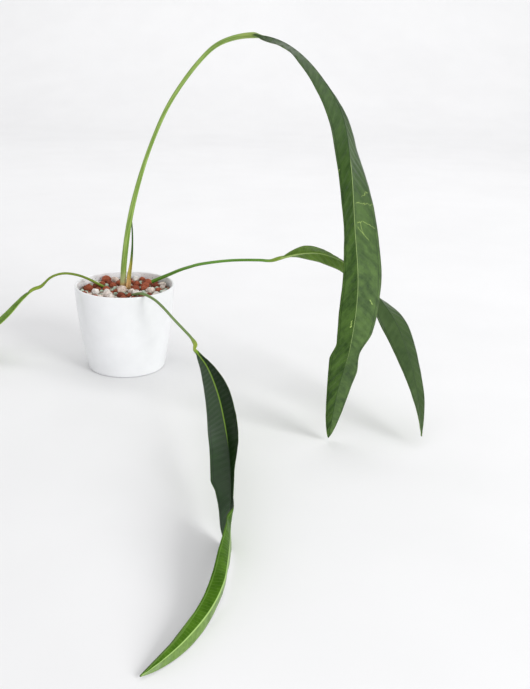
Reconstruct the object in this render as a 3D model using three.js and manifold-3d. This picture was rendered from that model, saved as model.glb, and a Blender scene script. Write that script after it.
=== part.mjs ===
// Potted anthurium: four long strap leaves that grow from a short buried stem in a white glazed pot.
// Millimetres, +Z up. The origin is the centre of the pot's foot on the surface that it stands on.
// +X points to the plant's right and +Y behind it.

import * as THREE from "three";
import { mergeVertices } from "three/addons/utils/BufferGeometryUtils.js";
import Module from "manifold-3d";

const wasm = await Module();
wasm.setup();

// Driving dimensions of the pot. A wall curve above 1 swells the wall, and a ring at each level follows it.
const POT_HEIGHT = 105;
const RIM_RADIUS = 60;
const FOOT_RADIUS = 46.5;
const FOOT_ROUNDING = 3;
const WALL_CURVE = 1.65;
const WALL_LEVELS = [22, 40, 60, 80, 94];
const WALL = 2.8;
const POT_FLOOR = 5;
const INNER_ROUNDING = 4;
const POT_SIDES = 48;

// Driving dimensions of the mineral mix in the pot
const GAP = 0.3;
const BED_HEIGHT = 95;
const BED_SIDES = 40;
const GRAIN_SINK = 0.35;
const GRAIN_OVERLAP = 0.98;
const GRAIN_FULLNESS = 1.08;
const GRAIN_SEED = 4127;
const GRAIN_TRIES = 2600;

// Driving dimensions of the buried stem, its roots and the sheath beside the tall leaf
const STEM_X = -1;
const STEM_Y = 13;
const STEM_BOTTOM = 32;
const STEM_TOP = 97;
const STEM_RADIUS = 9;
const ROOT_RADIUS = 2.2;
const ROOT_COUNT = 7;
const SOCKET_CLEARANCE = 0.35;

// Driving dimensions that all blades share
const BLADE_THICKNESS = 1.1;
const BLADE_STEPS = 46;
const STALK_STEPS = 28;
const TIP_HALF_WIDTH = 0.7;
const RIB_FADE = 0.75;
const COLLAR = 0.03;

// Each leaf is a stalk and a blade on one smooth path. "across" points from the midrib towards the blade's
// near half. Roll and folds are in degrees and trims multiply a half's width. They are keyed to the place along
// the blade, from 0 at its base to 1 at its tip.
const LEAVES = {
  leaf_tall: {
    stalk: [
      [-5.5, 16, 93], [-1.7, 12.5, 131], [7.6, 4, 183], [22, -9, 233], [40.5, -25.5, 281], [63, -46, 325],
      [97.5, -77, 370], [119, -96, 388],
    ],
    blade: [
      [153, -124, 397], [184, -152, 391], [212, -177, 370], [237, -200, 333], [247, -209, 290], [254, -215, 230],
      [260, -220, 170], [256, -217, 107], [247, -209, 58], [241, -204, 4],
    ],
    stalkRadius: [[0, 3.6], [0.15, 3.4], [0.3, 2.9], [0.5, 2.2], [0.8, 2.2], [0.92, 2.5], [1, 3.1]],
    across: [-0.669, -0.743, 0],
    halfWidth: 26,
    baseExponent: 0.72,
    tipExponent: 0.66,
    roll: [[0, -20], [0.15, 0], [1, 0]],
    nearFold: [[0, -48], [0.12, 5], [0.3, 0], [0.5, 7], [0.65, -16], [0.85, -9], [1, 0]],
    farFold: [[0, -60], [0.12, -42], [0.25, -30], [0.35, -24], [0.5, 2], [0.65, 13], [0.8, 25], [1, 22]],
    nearTrim: [[0, 0.8], [0.12, 1.05], [0.6, 0.72], [0.7, 0.86], [0.755, 0.86], [0.79, 1.2], [0.9, 1], [1, 1.1]],
    farTrim: [[0, 1.15], [0.6, 1.25], [0.74, 1.05], [0.79, 0.64], [0.84, 0.92], [1, 1.1]],
  },
  leaf_right: {
    stalk: [
      [5, 13.5, 86], [12, 24, 90], [21, 31, 95], [28, 33, 98.4], [39, 31, 104], [52, 26, 111], [65.5, 18, 119],
      [79, 7, 126.4], [92, -6, 133.5],
      [129, -26, 144.3], [164, -45, 150.6], [176, -51.5, 152],
    ],
    blade: [
      [188, -59, 157.6], [209, -72, 167], [232, -88, 172], [255, -102, 167], [275, -115, 151], [295, -127, 132],
      [311, -140, 111.5], [323, -157, 85], [332, -178, 54], [335.5, -199, 30], [336.2, -212, 12],
    ],
    stalkRadius: [[0, 2.6], [0.4, 1.9], [0.8, 1.6], [0.93, 1.7], [0.97, 2.2], [1, 2.1]],
    across: [-0.5, -0.85, 0],
    halfWidth: 20,
    baseExponent: 0.63,
    tipExponent: 0.82,
    roll: [[0, 54], [0.12, 61], [0.25, 51], [0.4, 38], [0.5, 5], [0.6, -13], [0.75, -9], [1, -3]],
    nearFold: [[0, 25], [0.12, -11], [0.25, -25], [0.4, -17], [0.6, -11], [0.75, -5], [1, 10]],
    farFold: [[0, 42], [0.12, 3], [0.25, -11], [0.4, -11], [1, 5]],
    nearTrim: [[0, 0.4], [0.06, 0.62], [0.14, 0.92], [1, 1.15]],
    farTrim: [[0, 0.7], [0.08, 1], [1, 1.1]],
  },
  leaf_front: {
    stalk: [
      [3, 7, 86], [9, -7, 92], [14.5, -22, 98], [22, -37, 104], [29.5, -50, 107.6], [38, -62, 108.6],
      [47, -74, 107.5], [57.6, -85, 102], [67, -89.5, 93.2], [80.5, -93.5, 80.2], [88, -96, 73], [91.8, -97.5, 68.3],
      [94, -99.5, 64.8], [93.3, -101.8, 61.8], [93.6, -104.4, 60.4],
    ],
    blade: [
      [95, -107, 60], [110, -146, 58], [125, -204, 53], [135, -258, 46], [143, -316, 36], [147, -366, 27],
      [148, -411, 21], [148, -454, 18], [146, -482, 15.5], [137.8, -506.6, 10], [121.7, -538, 7],
      [107.7, -556.6, 4.6], [95.7, -569.2, 2.5],
    ],
    stalkRadius: [
      [0, 2.6], [0.2, 1.8], [0.75, 1.55], [0.89, 1.6], [0.925, 2.4], [0.945, 2.5], [0.97, 1.8], [1, 2.2],
    ],
    across: [-1, 0, 0],
    halfWidth: 18,
    baseExponent: 0.74,
    tipExponent: 0.7,
    roll: [
      [0, -24], [0.3, -22], [0.4, -18], [0.52, -31], [0.6, -67], [0.63, -78], [0.66, -108], [0.74, -122], [1, -130],
    ],
    nearFold: [[0, -5], [0.3, 5], [0.45, 30], [0.6, 20], [0.63, 6], [0.68, 20], [0.78, 36], [1, -12]],
    farFold: [[0, 50], [0.25, 32], [0.52, 49], [0.6, 17], [0.64, 0], [0.68, -12], [0.8, 10], [1, -40]],
    nearTrim: [
      [0, 1.1], [0.51, 1.02], [0.54, 0.8], [0.57, 0.73], [0.6, 0.8], [0.64, 1.15], [0.68, 0.92], [0.8, 0.68], [1, 1],
    ],
    farTrim: [[0, 0.6], [0.09, 0.84], [0.16, 1], [0.25, 1.1], [0.4, 1.06], [1, 0.8]],
  },
  leaf_left: {
    stalk: [
      [-6, 12, 86], [-13, 9, 90.5], [-21.5, 7, 95.5], [-36, 7, 103], [-48.5, 7, 109], [-60, 7, 112.6],
      [-74, 7, 114], [-85, 7, 111.6], [-93, 7, 107.3], [-99, 7, 101.5], [-103.2, 7, 97.4], [-107, 7, 95.3],
      [-111, 7, 94],
    ],
    blade: [
      [-116.5, 7, 91], [-129, 7, 79], [-148, 8, 57], [-173, 11, 35], [-204, 16, 17.5], [-242, 23, 7],
      [-285, 31, 2.9], [-330, 38, 1.8], [-378, 44, 1.4],
    ],
    stalkRadius: [[0, 2.4], [0.3, 1.55], [0.8, 1.45], [0.86, 1.8], [0.93, 2.2], [1, 2]],
    across: [0, 1, 0],
    halfWidth: 18,
    baseExponent: 0.7,
    tipExponent: 0.78,
    roll: [[0, 0], [0.5, -12], [0.8, 0], [1, 6]],
    nearFold: [[0, 30], [0.3, 22], [0.7, 8], [1, 3]],
    farFold: [[0, 30], [0.3, 20], [0.7, 6], [1, 3]],
    nearTrim: [[0, 1], [1, 1]],
    farTrim: [[0, 1], [1, 1]],
  },
};

// The grains that show from the front: kind, x, y and radius
const PLACED_GRAINS = [
  ["clay", -29, 38.6, 6.6], ["clay", -44.5, 1, 5.8], ["pumice", -33, -14, 5.4], ["pumice", -17, -24.5, 6.2],
  ["clay", -0.5, -24.5, 5.4], ["pumice", -3.5, -2.5, 6.2], ["clay", 12, 4, 5.8], ["clay", 10.5, 24.5, 5.4],
  ["clay", 22, 19, 5.6], ["clay", 34, 20, 5.2], ["clay", 22.5, 8, 4.6], ["pumice", 31, -2, 5.4],
  ["clay", 40.5, 3, 4.2], ["pumice", 44, 16, 3.8], ["pumice", 6.5, 49.5, 5], ["clay", 14.5, 49, 4.2],
  ["pumice", -18.5, 39, 5.6], ["clay", 2.5, 36, 3.6], ["clay", -23, 1, 5], ["clay", -32.5, -1, 4],
  ["clay", -10.5, -4, 3.2], ["clay", 8, -22, 3.5], ["clay", -37, 12.5, 5], ["pumice", -40, 26, 4.2],
  ["chip", -24.5, -17.5, 2.6], ["chip", -14, 5, 2.6], ["chip", -9, -15, 2.5], ["chip", 4, -14.5, 2.6],
  ["chip", 17.5, 12, 2.4], ["chip", 29, 11, 2.6], ["chip", 14, 31, 2.6], ["chip", -9.5, -25.5, 2.3],
];

const radians = THREE.MathUtils.degToRad;

// A repeatable draw between 0 and 1
function seededDraw(seed) {
  let state = seed;
  return () => {
    state = (state * 16807) % 2147483647;
    return state / 2147483647;
  };
}

// A smooth value through [place, value] keys, without overshoot
function keyed(keys, place) {
  const last = keys.length - 1;
  if (place <= keys[0][0]) return keys[0][1];
  if (place >= keys[last][0]) return keys[last][1];
  const rise = (i) => (keys[i + 1][1] - keys[i][1]) / (keys[i + 1][0] - keys[i][0]);
  const slope = (i) => {
    if (i === 0) return rise(0);
    if (i === last) return rise(last - 1);
    const before = rise(i - 1);
    const after = rise(i);
    return before * after <= 0 ? 0 : (2 * before * after) / (before + after);
  };
  let i = 0;
  while (place >= keys[i + 1][0]) i += 1;
  const span = keys[i + 1][0] - keys[i][0];
  const t = (place - keys[i][0]) / span;
  const t2 = t * t;
  const t3 = t2 * t;
  return (2 * t3 - 3 * t2 + 1) * keys[i][1] + (t3 - 2 * t2 + t) * span * slope(i)
    + (3 * t2 - 2 * t3) * keys[i + 1][1] + (t3 - t2) * span * slope(i + 1);
}

// Points at equal steps along the part of a curve between two of its parameters
function evenPoints(curve, from, to, steps) {
  const fineSteps = 40 * steps;
  const fine = [];
  const run = [0];
  for (let i = 0; i <= fineSteps; i += 1) {
    fine.push(curve.getPoint(from + ((to - from) * i) / fineSteps));
    if (i > 0) run.push(run[i - 1] + fine[i].distanceTo(fine[i - 1]));
  }
  const points = [];
  let i = 1;
  for (let step = 0; step <= steps; step += 1) {
    const target = (run[fineSteps] * step) / steps;
    while (i < fineSteps && run[i] < target) i += 1;
    const part = (target - run[i - 1]) / (run[i] - run[i - 1]);
    points.push(fine[i - 1].clone().lerp(fine[i], part));
  }
  return points;
}

// The frame at each point of a path: the direction along it, across it towards the near half, and up
function pathFrames(points, across) {
  const reference = new THREE.Vector3(...across);
  return points.map((point, i) => {
    const before = points[Math.max(i - 1, 0)];
    const after = points[Math.min(i + 1, points.length - 1)];
    const along = after.clone().sub(before).normalize();
    const side = reference.clone().addScaledVector(along, -reference.dot(along)).normalize();
    const up = new THREE.Vector3().crossVectors(side, along);
    return { point, along, side, up };
  });
}

// A closed body from rings of equal point counts, with both ends closed strip by strip
function loft(rings) {
  const count = rings[0].length;
  const positions = rings.flat().flatMap((p) => [p.x, p.y, p.z]);
  const index = [];
  for (let i = 0; i < rings.length - 1; i += 1) {
    for (let j = 0; j < count; j += 1) {
      const a = i * count + j;
      const b = i * count + ((j + 1) % count);
      const upperHalf = j < count / 2;
      if (upperHalf) index.push(a, b, b + count, a, b + count, a + count);
      else index.push(a, b, a + count, b, b + count, a + count);
    }
  }
  const close = (start, turn) => {
    for (let j = 0; j < count / 2 - 1; j += 1) {
      const corners = [start + j, start + j + 1, start + count - 2 - j, start + count - 1 - j];
      const [a, b, c, d] = turn ? corners.reverse() : corners;
      index.push(a, c, b, a, d, c);
    }
  };
  close(0, false);
  close((rings.length - 1) * count, true);
  const geometry = new THREE.BufferGeometry();
  geometry.setAttribute("position", new THREE.Float32BufferAttribute(positions, 3));
  geometry.setIndex(index);
  return faceOutwards(geometry);
}

// Turns every face round where a closed body is inside out
function faceOutwards(geometry) {
  const position = geometry.getAttribute("position");
  const index = geometry.getIndex();
  const [a, b, c] = [new THREE.Vector3(), new THREE.Vector3(), new THREE.Vector3()];
  let volume = 0;
  for (let i = 0; i < index.count; i += 3) {
    a.fromBufferAttribute(position, index.getX(i));
    b.fromBufferAttribute(position, index.getX(i + 1));
    c.fromBufferAttribute(position, index.getX(i + 2));
    volume += a.dot(b.cross(c));
  }
  if (volume < 0) geometry.setIndex([...index.array].reverse());
  return geometry;
}

// A ring of points round a frame, in the same order as a blade's ring
function roundRing(frame, radius, sides = 10) {
  const ring = [];
  for (let j = 0; j < sides; j += 1) {
    const angle = Math.PI - ((j + 0.5) * 2 * Math.PI) / sides;
    ring.push(frame.point.clone()
      .addScaledVector(frame.side, radius * Math.cos(angle))
      .addScaledVector(frame.up, radius * Math.sin(angle)));
  }
  return ring;
}

// A tapered tube along hand-placed points
function taperedTube(points, startRadius, endRadius, steps, sides) {
  const curve = new THREE.CatmullRomCurve3(points.map((p) => new THREE.Vector3(...p)), false, "centripetal");
  const frames = pathFrames(evenPoints(curve, 0, 1, steps), [0.31, 0.22, 0.92]);
  return loft(frames.map((frame, i) => {
    const radius = THREE.MathUtils.lerp(startRadius, endRadius, i / steps);
    return roundRing(frame, radius, sides);
  }));
}

// The solid that manifold-3d joins and cuts
function toSolid(geometry) {
  const bare = geometry.clone();
  bare.deleteAttribute("normal");
  bare.deleteAttribute("uv");
  const merged = mergeVertices(bare, 1e-4);
  return new wasm.Manifold(new wasm.Mesh({
    numProp: 3,
    vertProperties: new Float32Array(merged.getAttribute("position").array),
    triVerts: new Uint32Array(merged.getIndex().array),
  }));
}

// The geometry of a solid's largest body, which leaves out loose scraps
function toGeometry(solid) {
  const bodies = solid.decompose();
  const body = bodies.reduce((most, each) => (each.volume() > most.volume() ? each : most));
  const mesh = body.getMesh();
  const geometry = new THREE.BufferGeometry();
  geometry.setAttribute("position", new THREE.Float32BufferAttribute(mesh.vertProperties, 3));
  geometry.setIndex([...mesh.triVerts]);
  return geometry;
}

function lathe(profile, sides) {
  return new THREE.LatheGeometry(profile.map(([r, z]) => new THREE.Vector2(r, z)), sides).rotateX(Math.PI / 2);
}

// Points of a quarter round from one angle to another, in degrees
function roundedCorner(r, z, radius, from, to, steps) {
  const points = [];
  for (let i = 0; i <= steps; i += 1) {
    const angle = radians(from + ((to - from) * i) / steps);
    points.push([r + radius * Math.cos(angle), z + radius * Math.sin(angle)]);
  }
  return points;
}

function outerRadius(z) {
  return RIM_RADIUS - (RIM_RADIUS - FOOT_RADIUS) * (1 - z / POT_HEIGHT) ** WALL_CURVE;
}

function innerRadius(z) {
  return outerRadius(z) - WALL;
}

// The pot: one glazed wall from the flat foot over the rounded rim to the inner floor
function potGeometry() {
  const lip = WALL / 2;
  const foot = outerRadius(FOOT_ROUNDING) - FOOT_ROUNDING;
  const inner = innerRadius(POT_FLOOR + INNER_ROUNDING) - INNER_ROUNDING;
  const profile = [
    [0, 0],
    ...roundedCorner(foot, FOOT_ROUNDING, FOOT_ROUNDING, -90, 0, 3),
    ...WALL_LEVELS.map((z) => [outerRadius(z), z]),
    ...roundedCorner(outerRadius(POT_HEIGHT - lip) - lip, POT_HEIGHT - lip, lip, 0, 180, 5),
    ...WALL_LEVELS.map((z) => [innerRadius(z), z]).reverse(),
    ...roundedCorner(inner, POT_FLOOR + INNER_ROUNDING, INNER_ROUNDING, 0, -90, 3),
    [0, POT_FLOOR],
  ];
  return lathe(profile, POT_SIDES);
}

// The knobbly stem with its roots, grown by a margin where it cuts its own space in the mix
function stemSolid(margin) {
  const profile = [[0, STEM_BOTTOM - margin]];
  const knots = 6;
  for (let i = 0; i <= knots * 2; i += 1) {
    const part = i / (knots * 2);
    const z = THREE.MathUtils.lerp(STEM_BOTTOM + 3, STEM_TOP - 2, part);
    const taper = keyed([[0, 0.6], [0.3, 0.9], [0.8, 1], [1, 0.82]], part);
    const swell = i % 2 === 0 ? 0.4 : -0.4;
    profile.push([STEM_RADIUS * taper + swell + margin, z]);
  }
  profile.push([0, STEM_TOP + margin]);
  let solid = toSolid(lathe(profile, 14).translate(STEM_X, STEM_Y, 0));
  for (let i = 0; i < ROOT_COUNT; i += 1) {
    solid = solid.add(toSolid(rootGeometry(i, margin)));
  }
  return solid;
}

// One thick root: out from the stem, then down along the pot's wall
function rootGeometry(i, margin) {
  const turn = (i * 2 * Math.PI) / ROOT_COUNT + 0.4;
  const start = 44 + 6 * (i % 3);
  const reach = 26 + 3 * (i % 2);
  const at = (out, z, sway = 0) => [
    STEM_X * (1 - out / reach) + out * Math.cos(turn + sway) + STEM_X,
    STEM_Y * (1 - out / reach) + out * Math.sin(turn + sway),
    z,
  ];
  const points = [at(3, start), at(13, start - 2), at(22, start - 12, 0.15), at(reach, 16 + 2 * (i % 3), 0.3)];
  return taperedTube(points, ROOT_RADIUS + margin, 0.6 * ROOT_RADIUS + margin, 6, 6);
}

// The frames along a stalk, from the stem to the blade
function stalkFrames(leaf) {
  const curve = leafCurve(leaf);
  const joint = leaf.stalk.length / (leaf.stalk.length + leaf.blade.length - 1);
  return pathFrames(evenPoints(curve, 0, joint, STALK_STEPS), leaf.across);
}

function leafCurve(leaf) {
  const points = [...leaf.stalk, ...leaf.blade].map((p) => new THREE.Vector3(...p));
  return new THREE.CatmullRomCurve3(points, false, "centripetal");
}

// The stalk's lower end grown by a margin, which cuts its plain hole in the mix and its socket in the stem
function stalkHole(leaf, margin) {
  const frames = stalkFrames(leaf).slice(0, Math.ceil(STALK_STEPS * 0.45));
  frames[0].point.addScaledVector(frames[0].along, -margin);
  return toSolid(loft(frames.map((frame, i) => {
    const radius = keyed(leaf.stalkRadius, i / STALK_STEPS) + margin;
    return roundRing(frame, radius / Math.cos(Math.PI / 10));
  })));
}

// One ring of the blade: five points over its upper face and five under it, folded along the midrib
function bladeRing(leaf, frame, place) {
  const roll = radians(keyed(leaf.roll, place));
  const side = frame.side.clone().multiplyScalar(Math.cos(roll)).addScaledVector(frame.up, Math.sin(roll));
  const up = frame.up.clone().multiplyScalar(Math.cos(roll)).addScaledVector(frame.side, -Math.sin(roll));
  const peak = leaf.baseExponent / (leaf.baseExponent + leaf.tipExponent);
  const outline = (place / peak) ** leaf.baseExponent * ((1 - place) / (1 - peak)) ** leaf.tipExponent;
  const trims = { near: keyed(leaf.nearTrim, place), far: keyed(leaf.farTrim, place) };
  const half = BLADE_THICKNESS / 2;
  const stalkEnd = keyed(leaf.stalkRadius, 1);
  const rib = stalkEnd * Math.max(1 - place / RIB_FADE, 0) ** 1.5 * 0.75;
  const edge = (amount, face) => {
    const isNear = amount > 0;
    const fold = radians(keyed(isNear ? leaf.nearFold : leaf.farFold, place)) * (amount === 0 ? 0 : 1);
    const trim = isNear ? trims.near : trims.far;
    const out = Math.abs(amount) * Math.max(leaf.halfWidth * outline * trim, TIP_HALF_WIDTH);
    const sign = isNear ? 1 : -1;
    const depth = face * (half + (amount === 0 && face < 0 ? rib : 0));
    return frame.point.clone()
      .addScaledVector(side, sign * (out * Math.cos(fold) - depth * Math.sin(fold)))
      .addScaledVector(up, out * Math.sin(fold) + depth * Math.cos(fold));
  };
  const steps = [-1, -0.5, 0, 0.5, 1];
  const strip = [...steps.map((s) => edge(s, 1)), ...steps.map((s) => edge(s, -1)).reverse()];
  const round = roundRing({ point: frame.point, side, up }, stalkEnd);
  const blend = THREE.MathUtils.smoothstep(place, 0, COLLAR);
  return strip.map((p, j) => round[j].lerp(p, blend));
}

// A whole leaf: round stalk rings, then blade rings
function leafGeometry(leaf) {
  const joint = leaf.stalk.length / (leaf.stalk.length + leaf.blade.length - 1);
  const startRoll = radians(keyed(leaf.roll, 0));
  const stalkRings = stalkFrames(leaf).slice(0, -1).map((frame, i) => {
    const part = i / STALK_STEPS;
    const roll = startRoll * part;
    const side = frame.side.clone().multiplyScalar(Math.cos(roll)).addScaledVector(frame.up, Math.sin(roll));
    const up = frame.up.clone().multiplyScalar(Math.cos(roll)).addScaledVector(frame.side, -Math.sin(roll));
    return roundRing({ point: frame.point, side, up }, keyed(leaf.stalkRadius, part));
  });
  const bladeFrames = pathFrames(evenPoints(leafCurve(leaf), joint, 1, BLADE_STEPS), leaf.across);
  const bladeRings = bladeFrames.map((frame, i) => bladeRing(leaf, frame, i / BLADE_STEPS));
  return loft([...stalkRings, ...bladeRings]);
}

// The sheath: a thin folded scale that ends in a point
function cataphyllGeometry(margin = 0) {
  const path = [
    [2.4, 10, 93], [3.9, 10.6, 111], [6.9, 10.8, 129], [8.7, 10.8, 147], [9.3, 10.7, 166], [8.4, 10.6, 188],
  ];
  const curve = new THREE.CatmullRomCurve3(path.map((p) => new THREE.Vector3(...p)), false, "centripetal");
  const steps = 12;
  const frames = pathFrames(evenPoints(curve, 0, 1, steps), [1, 0, 0]);
  frames[0].point.addScaledVector(frames[0].along, -margin);
  return loft(frames.map((frame, i) => {
    const part = i / steps;
    const wide = keyed([[0, 3.4], [0.19, 2.6], [0.38, 1.8], [0.6, 1.1], [1, 0.5]], part) + margin;
    const deep = keyed([[0, 1.7], [0.4, 1.1], [1, 0.45]], part) + margin;
    return roundRing(frame, 1).map((p) => {
      const local = p.sub(frame.point);
      const x = local.dot(frame.side);
      const y = local.dot(frame.up);
      return frame.point.clone().addScaledVector(frame.side, x * wide).addScaledVector(frame.up, y * deep);
    });
  }));
}

// All grains of the mix: the placed ones first, then a seeded fill of the free ground
function grainLayout() {
  const draw = seededDraw(GRAIN_SEED);
  const grains = PLACED_GRAINS.map(([kind, x, y, radius]) => ({ kind, x, y, radius }));
  const wall = innerRadius(BED_HEIGHT) * Math.cos(Math.PI / POT_SIDES) - GAP;
  for (let i = 0; i < GRAIN_TRIES; i += 1) {
    const out = wall * Math.sqrt(draw());
    const turn = 2 * Math.PI * draw();
    const pick = draw();
    const size = draw();
    const kind = pick < 0.45 ? "clay" : pick < 0.82 ? "pumice" : "chip";
    const radius = kind === "chip" ? 2.2 + 0.8 * size : 3.6 + 2.6 * size;
    const x = out * Math.cos(turn);
    const y = out * Math.sin(turn);
    const clearOfWall = out + 1.17 * radius < wall;
    const clearOfStem = Math.hypot(x - STEM_X, y - STEM_Y) > STEM_RADIUS + 0.7 * radius;
    const clearOfGrains = grains.every((g) => Math.hypot(x - g.x, y - g.y) > GRAIN_OVERLAP * (radius + g.radius));
    if (clearOfWall && clearOfStem && clearOfGrains) grains.push({ kind, x, y, radius });
  }
  return grains;
}

// One grain: a few-sided lump, squashed and turned by the draw
function grainGeometry(grain, draw) {
  const geometry = new THREE.IcosahedronGeometry(GRAIN_FULLNESS * grain.radius);
  geometry.scale(0.92 + 0.16 * draw(), 0.92 + 0.16 * draw(), 0.8 + 0.15 * draw());
  geometry.rotateX(draw() - 0.5);
  geometry.rotateZ(2 * Math.PI * draw());
  return geometry.translate(grain.x, grain.y, BED_HEIGHT + GRAIN_SINK * grain.radius);
}

// The mix: one packed body with its top grains fused to it and plain holes for stem, roots and stalks
function substrateGeometry() {
  const wall = (z) => innerRadius(z) - GAP;
  const low = POT_FLOOR + GAP;
  const foot = innerRadius(POT_FLOOR + INNER_ROUNDING) - INNER_ROUNDING;
  const profile = [
    [0, low],
    ...roundedCorner(foot, low + INNER_ROUNDING, INNER_ROUNDING - GAP, -90, 0, 3),
    ...WALL_LEVELS.map((z) => [wall(z), z]),
    [wall(BED_HEIGHT) - 3, BED_HEIGHT],
    [0, BED_HEIGHT],
  ];
  let solid = toSolid(lathe(profile, BED_SIDES));
  const draw = seededDraw(GRAIN_SEED + 1);
  for (const grain of grainLayout()) {
    solid = solid.add(toSolid(grainGeometry(grain, draw)));
  }
  solid = solid.subtract(stemSolid(SOCKET_CLEARANCE));
  for (const leaf of Object.values(LEAVES)) {
    solid = solid.subtract(stalkHole(leaf, SOCKET_CLEARANCE));
  }
  return toGeometry(solid.subtract(toSolid(cataphyllGeometry(SOCKET_CLEARANCE))));
}

function stemGeometry() {
  let solid = stemSolid(0);
  for (const leaf of Object.values(LEAVES)) {
    solid = solid.subtract(stalkHole(leaf, SOCKET_CLEARANCE));
  }
  return toGeometry(solid.subtract(toSolid(cataphyllGeometry(SOCKET_CLEARANCE))));
}

function piece(name, geometry, color, roughness) {
  geometry.computeVertexNormals();
  const mesh = new THREE.Mesh(geometry, new THREE.MeshStandardMaterial({ color, roughness, metalness: 0 }));
  mesh.name = name;
  return mesh;
}

const LEAF_GREEN = 0x2f5a2e;

const plant = new THREE.Group();
plant.add(piece("pot", potGeometry(), 0xf0f0f0, 0.3));
plant.add(piece("substrate", substrateGeometry(), 0x96583f, 0.9));
plant.add(piece("stem", stemGeometry(), 0x9a6b3c, 0.8));
plant.add(piece("cataphyll", cataphyllGeometry(), 0x66743a, 0.6));
for (const [name, leaf] of Object.entries(LEAVES)) {
  plant.add(piece(name, leafGeometry(leaf), LEAF_GREEN, 0.45));
}

export default plant;
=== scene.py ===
"""Dresses a potted strap-leaf anthurium: glazed pot, mineral grains, sheath and four long leaves.

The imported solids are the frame. Sizes in the classes are millimetres and every mesh is written in metres.
"""

import logging
import math
from abc import ABC, abstractmethod
from dataclasses import dataclass, field
from enum import Enum
from functools import cached_property, reduce
from typing import Iterator, Sequence, Union

import bmesh
import bpy
import numpy as np
from mathutils import Matrix, Vector


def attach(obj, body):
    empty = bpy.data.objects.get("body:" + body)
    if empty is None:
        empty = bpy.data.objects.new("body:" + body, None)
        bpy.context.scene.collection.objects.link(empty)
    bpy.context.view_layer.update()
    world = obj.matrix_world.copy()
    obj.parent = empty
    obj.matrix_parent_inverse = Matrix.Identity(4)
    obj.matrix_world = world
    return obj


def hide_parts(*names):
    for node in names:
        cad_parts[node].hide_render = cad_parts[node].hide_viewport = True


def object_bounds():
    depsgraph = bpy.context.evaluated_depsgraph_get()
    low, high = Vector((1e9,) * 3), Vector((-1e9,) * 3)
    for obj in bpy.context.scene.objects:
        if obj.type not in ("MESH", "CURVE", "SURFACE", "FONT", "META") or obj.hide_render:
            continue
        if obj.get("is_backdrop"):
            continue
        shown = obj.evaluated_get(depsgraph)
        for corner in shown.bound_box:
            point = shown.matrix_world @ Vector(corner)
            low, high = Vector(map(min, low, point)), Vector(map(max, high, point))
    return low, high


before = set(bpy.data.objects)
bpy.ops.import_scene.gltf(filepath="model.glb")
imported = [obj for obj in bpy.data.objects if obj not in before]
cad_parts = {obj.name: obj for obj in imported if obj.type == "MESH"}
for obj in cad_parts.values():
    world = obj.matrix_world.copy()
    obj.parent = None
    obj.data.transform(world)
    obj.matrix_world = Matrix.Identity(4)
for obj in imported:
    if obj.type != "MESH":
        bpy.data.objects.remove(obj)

LOG = logging.getLogger("anthurium")
MM = 0.001
IMAGE_WIDTH = 530
IMAGE_HEIGHT = 689

# How the veins lie in a blade, as shares and counts of the side veins' spacing where nothing else is said
VEIN_WANDER = 1.6
VEIN_BEND = 0.012
VEINS_A_SWELL = 3
SIDE_VEIN_WIDTH = 0.26
FINE_VEIN_WIDTH = 0.3
FINE_VEINS_A_SPACE = 3.0
MARGIN_VEIN_PLACE = 0.86

# How a leaf's mesh is spread and joined: columns crowd to the midrib, a blade's edge is nearly square, and points
# closer than the seam's gap in millimetres are one
COLUMN_CROWDING = 1.6
EDGE_SQUARENESS = 5.0
SEAM_GAP = 0.0006
LEAF_COLUMNS = 81

Point = tuple[float, float, float]
Colour = tuple[float, float, float, float]
Keys = Sequence[tuple[float, float]]


def paint(red: int, green: int, blue: int) -> Colour:
    """Turns a screen colour of 0 to 255 into the linear colour that a shader reads.

    Args:
        red: Red as shown on a screen.
        green: Green as shown on a screen.
        blue: Blue as shown on a screen.

    Returns:
        The linear colour with an alpha of 1.
    """
    linear = [(v / 255 / 12.92) if v <= 10 else ((v / 255 + 0.055) / 1.055) ** 2.4 for v in (red, green, blue)]
    return (linear[0], linear[1], linear[2], 1.0)


# Node graphs


class TreeKind(Enum):
    """The two kinds of node tree that this file builds."""

    SHADER = "ShaderNodeTree"
    GEOMETRY = "GeometryNodeTree"


class Kind(Enum):
    """The kinds of value that a named socket carries."""

    NUMBER = "NodeSocketFloat"
    WHOLE = "NodeSocketInt"
    VECTOR = "NodeSocketVector"
    GEOMETRY = "NodeSocketGeometry"
    MATERIAL = "NodeSocketMaterial"


class Carried(Enum):
    """The kinds of value that a mesh's points carry."""

    NUMBER = "FLOAT"
    VECTOR = "FLOAT_VECTOR"


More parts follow.
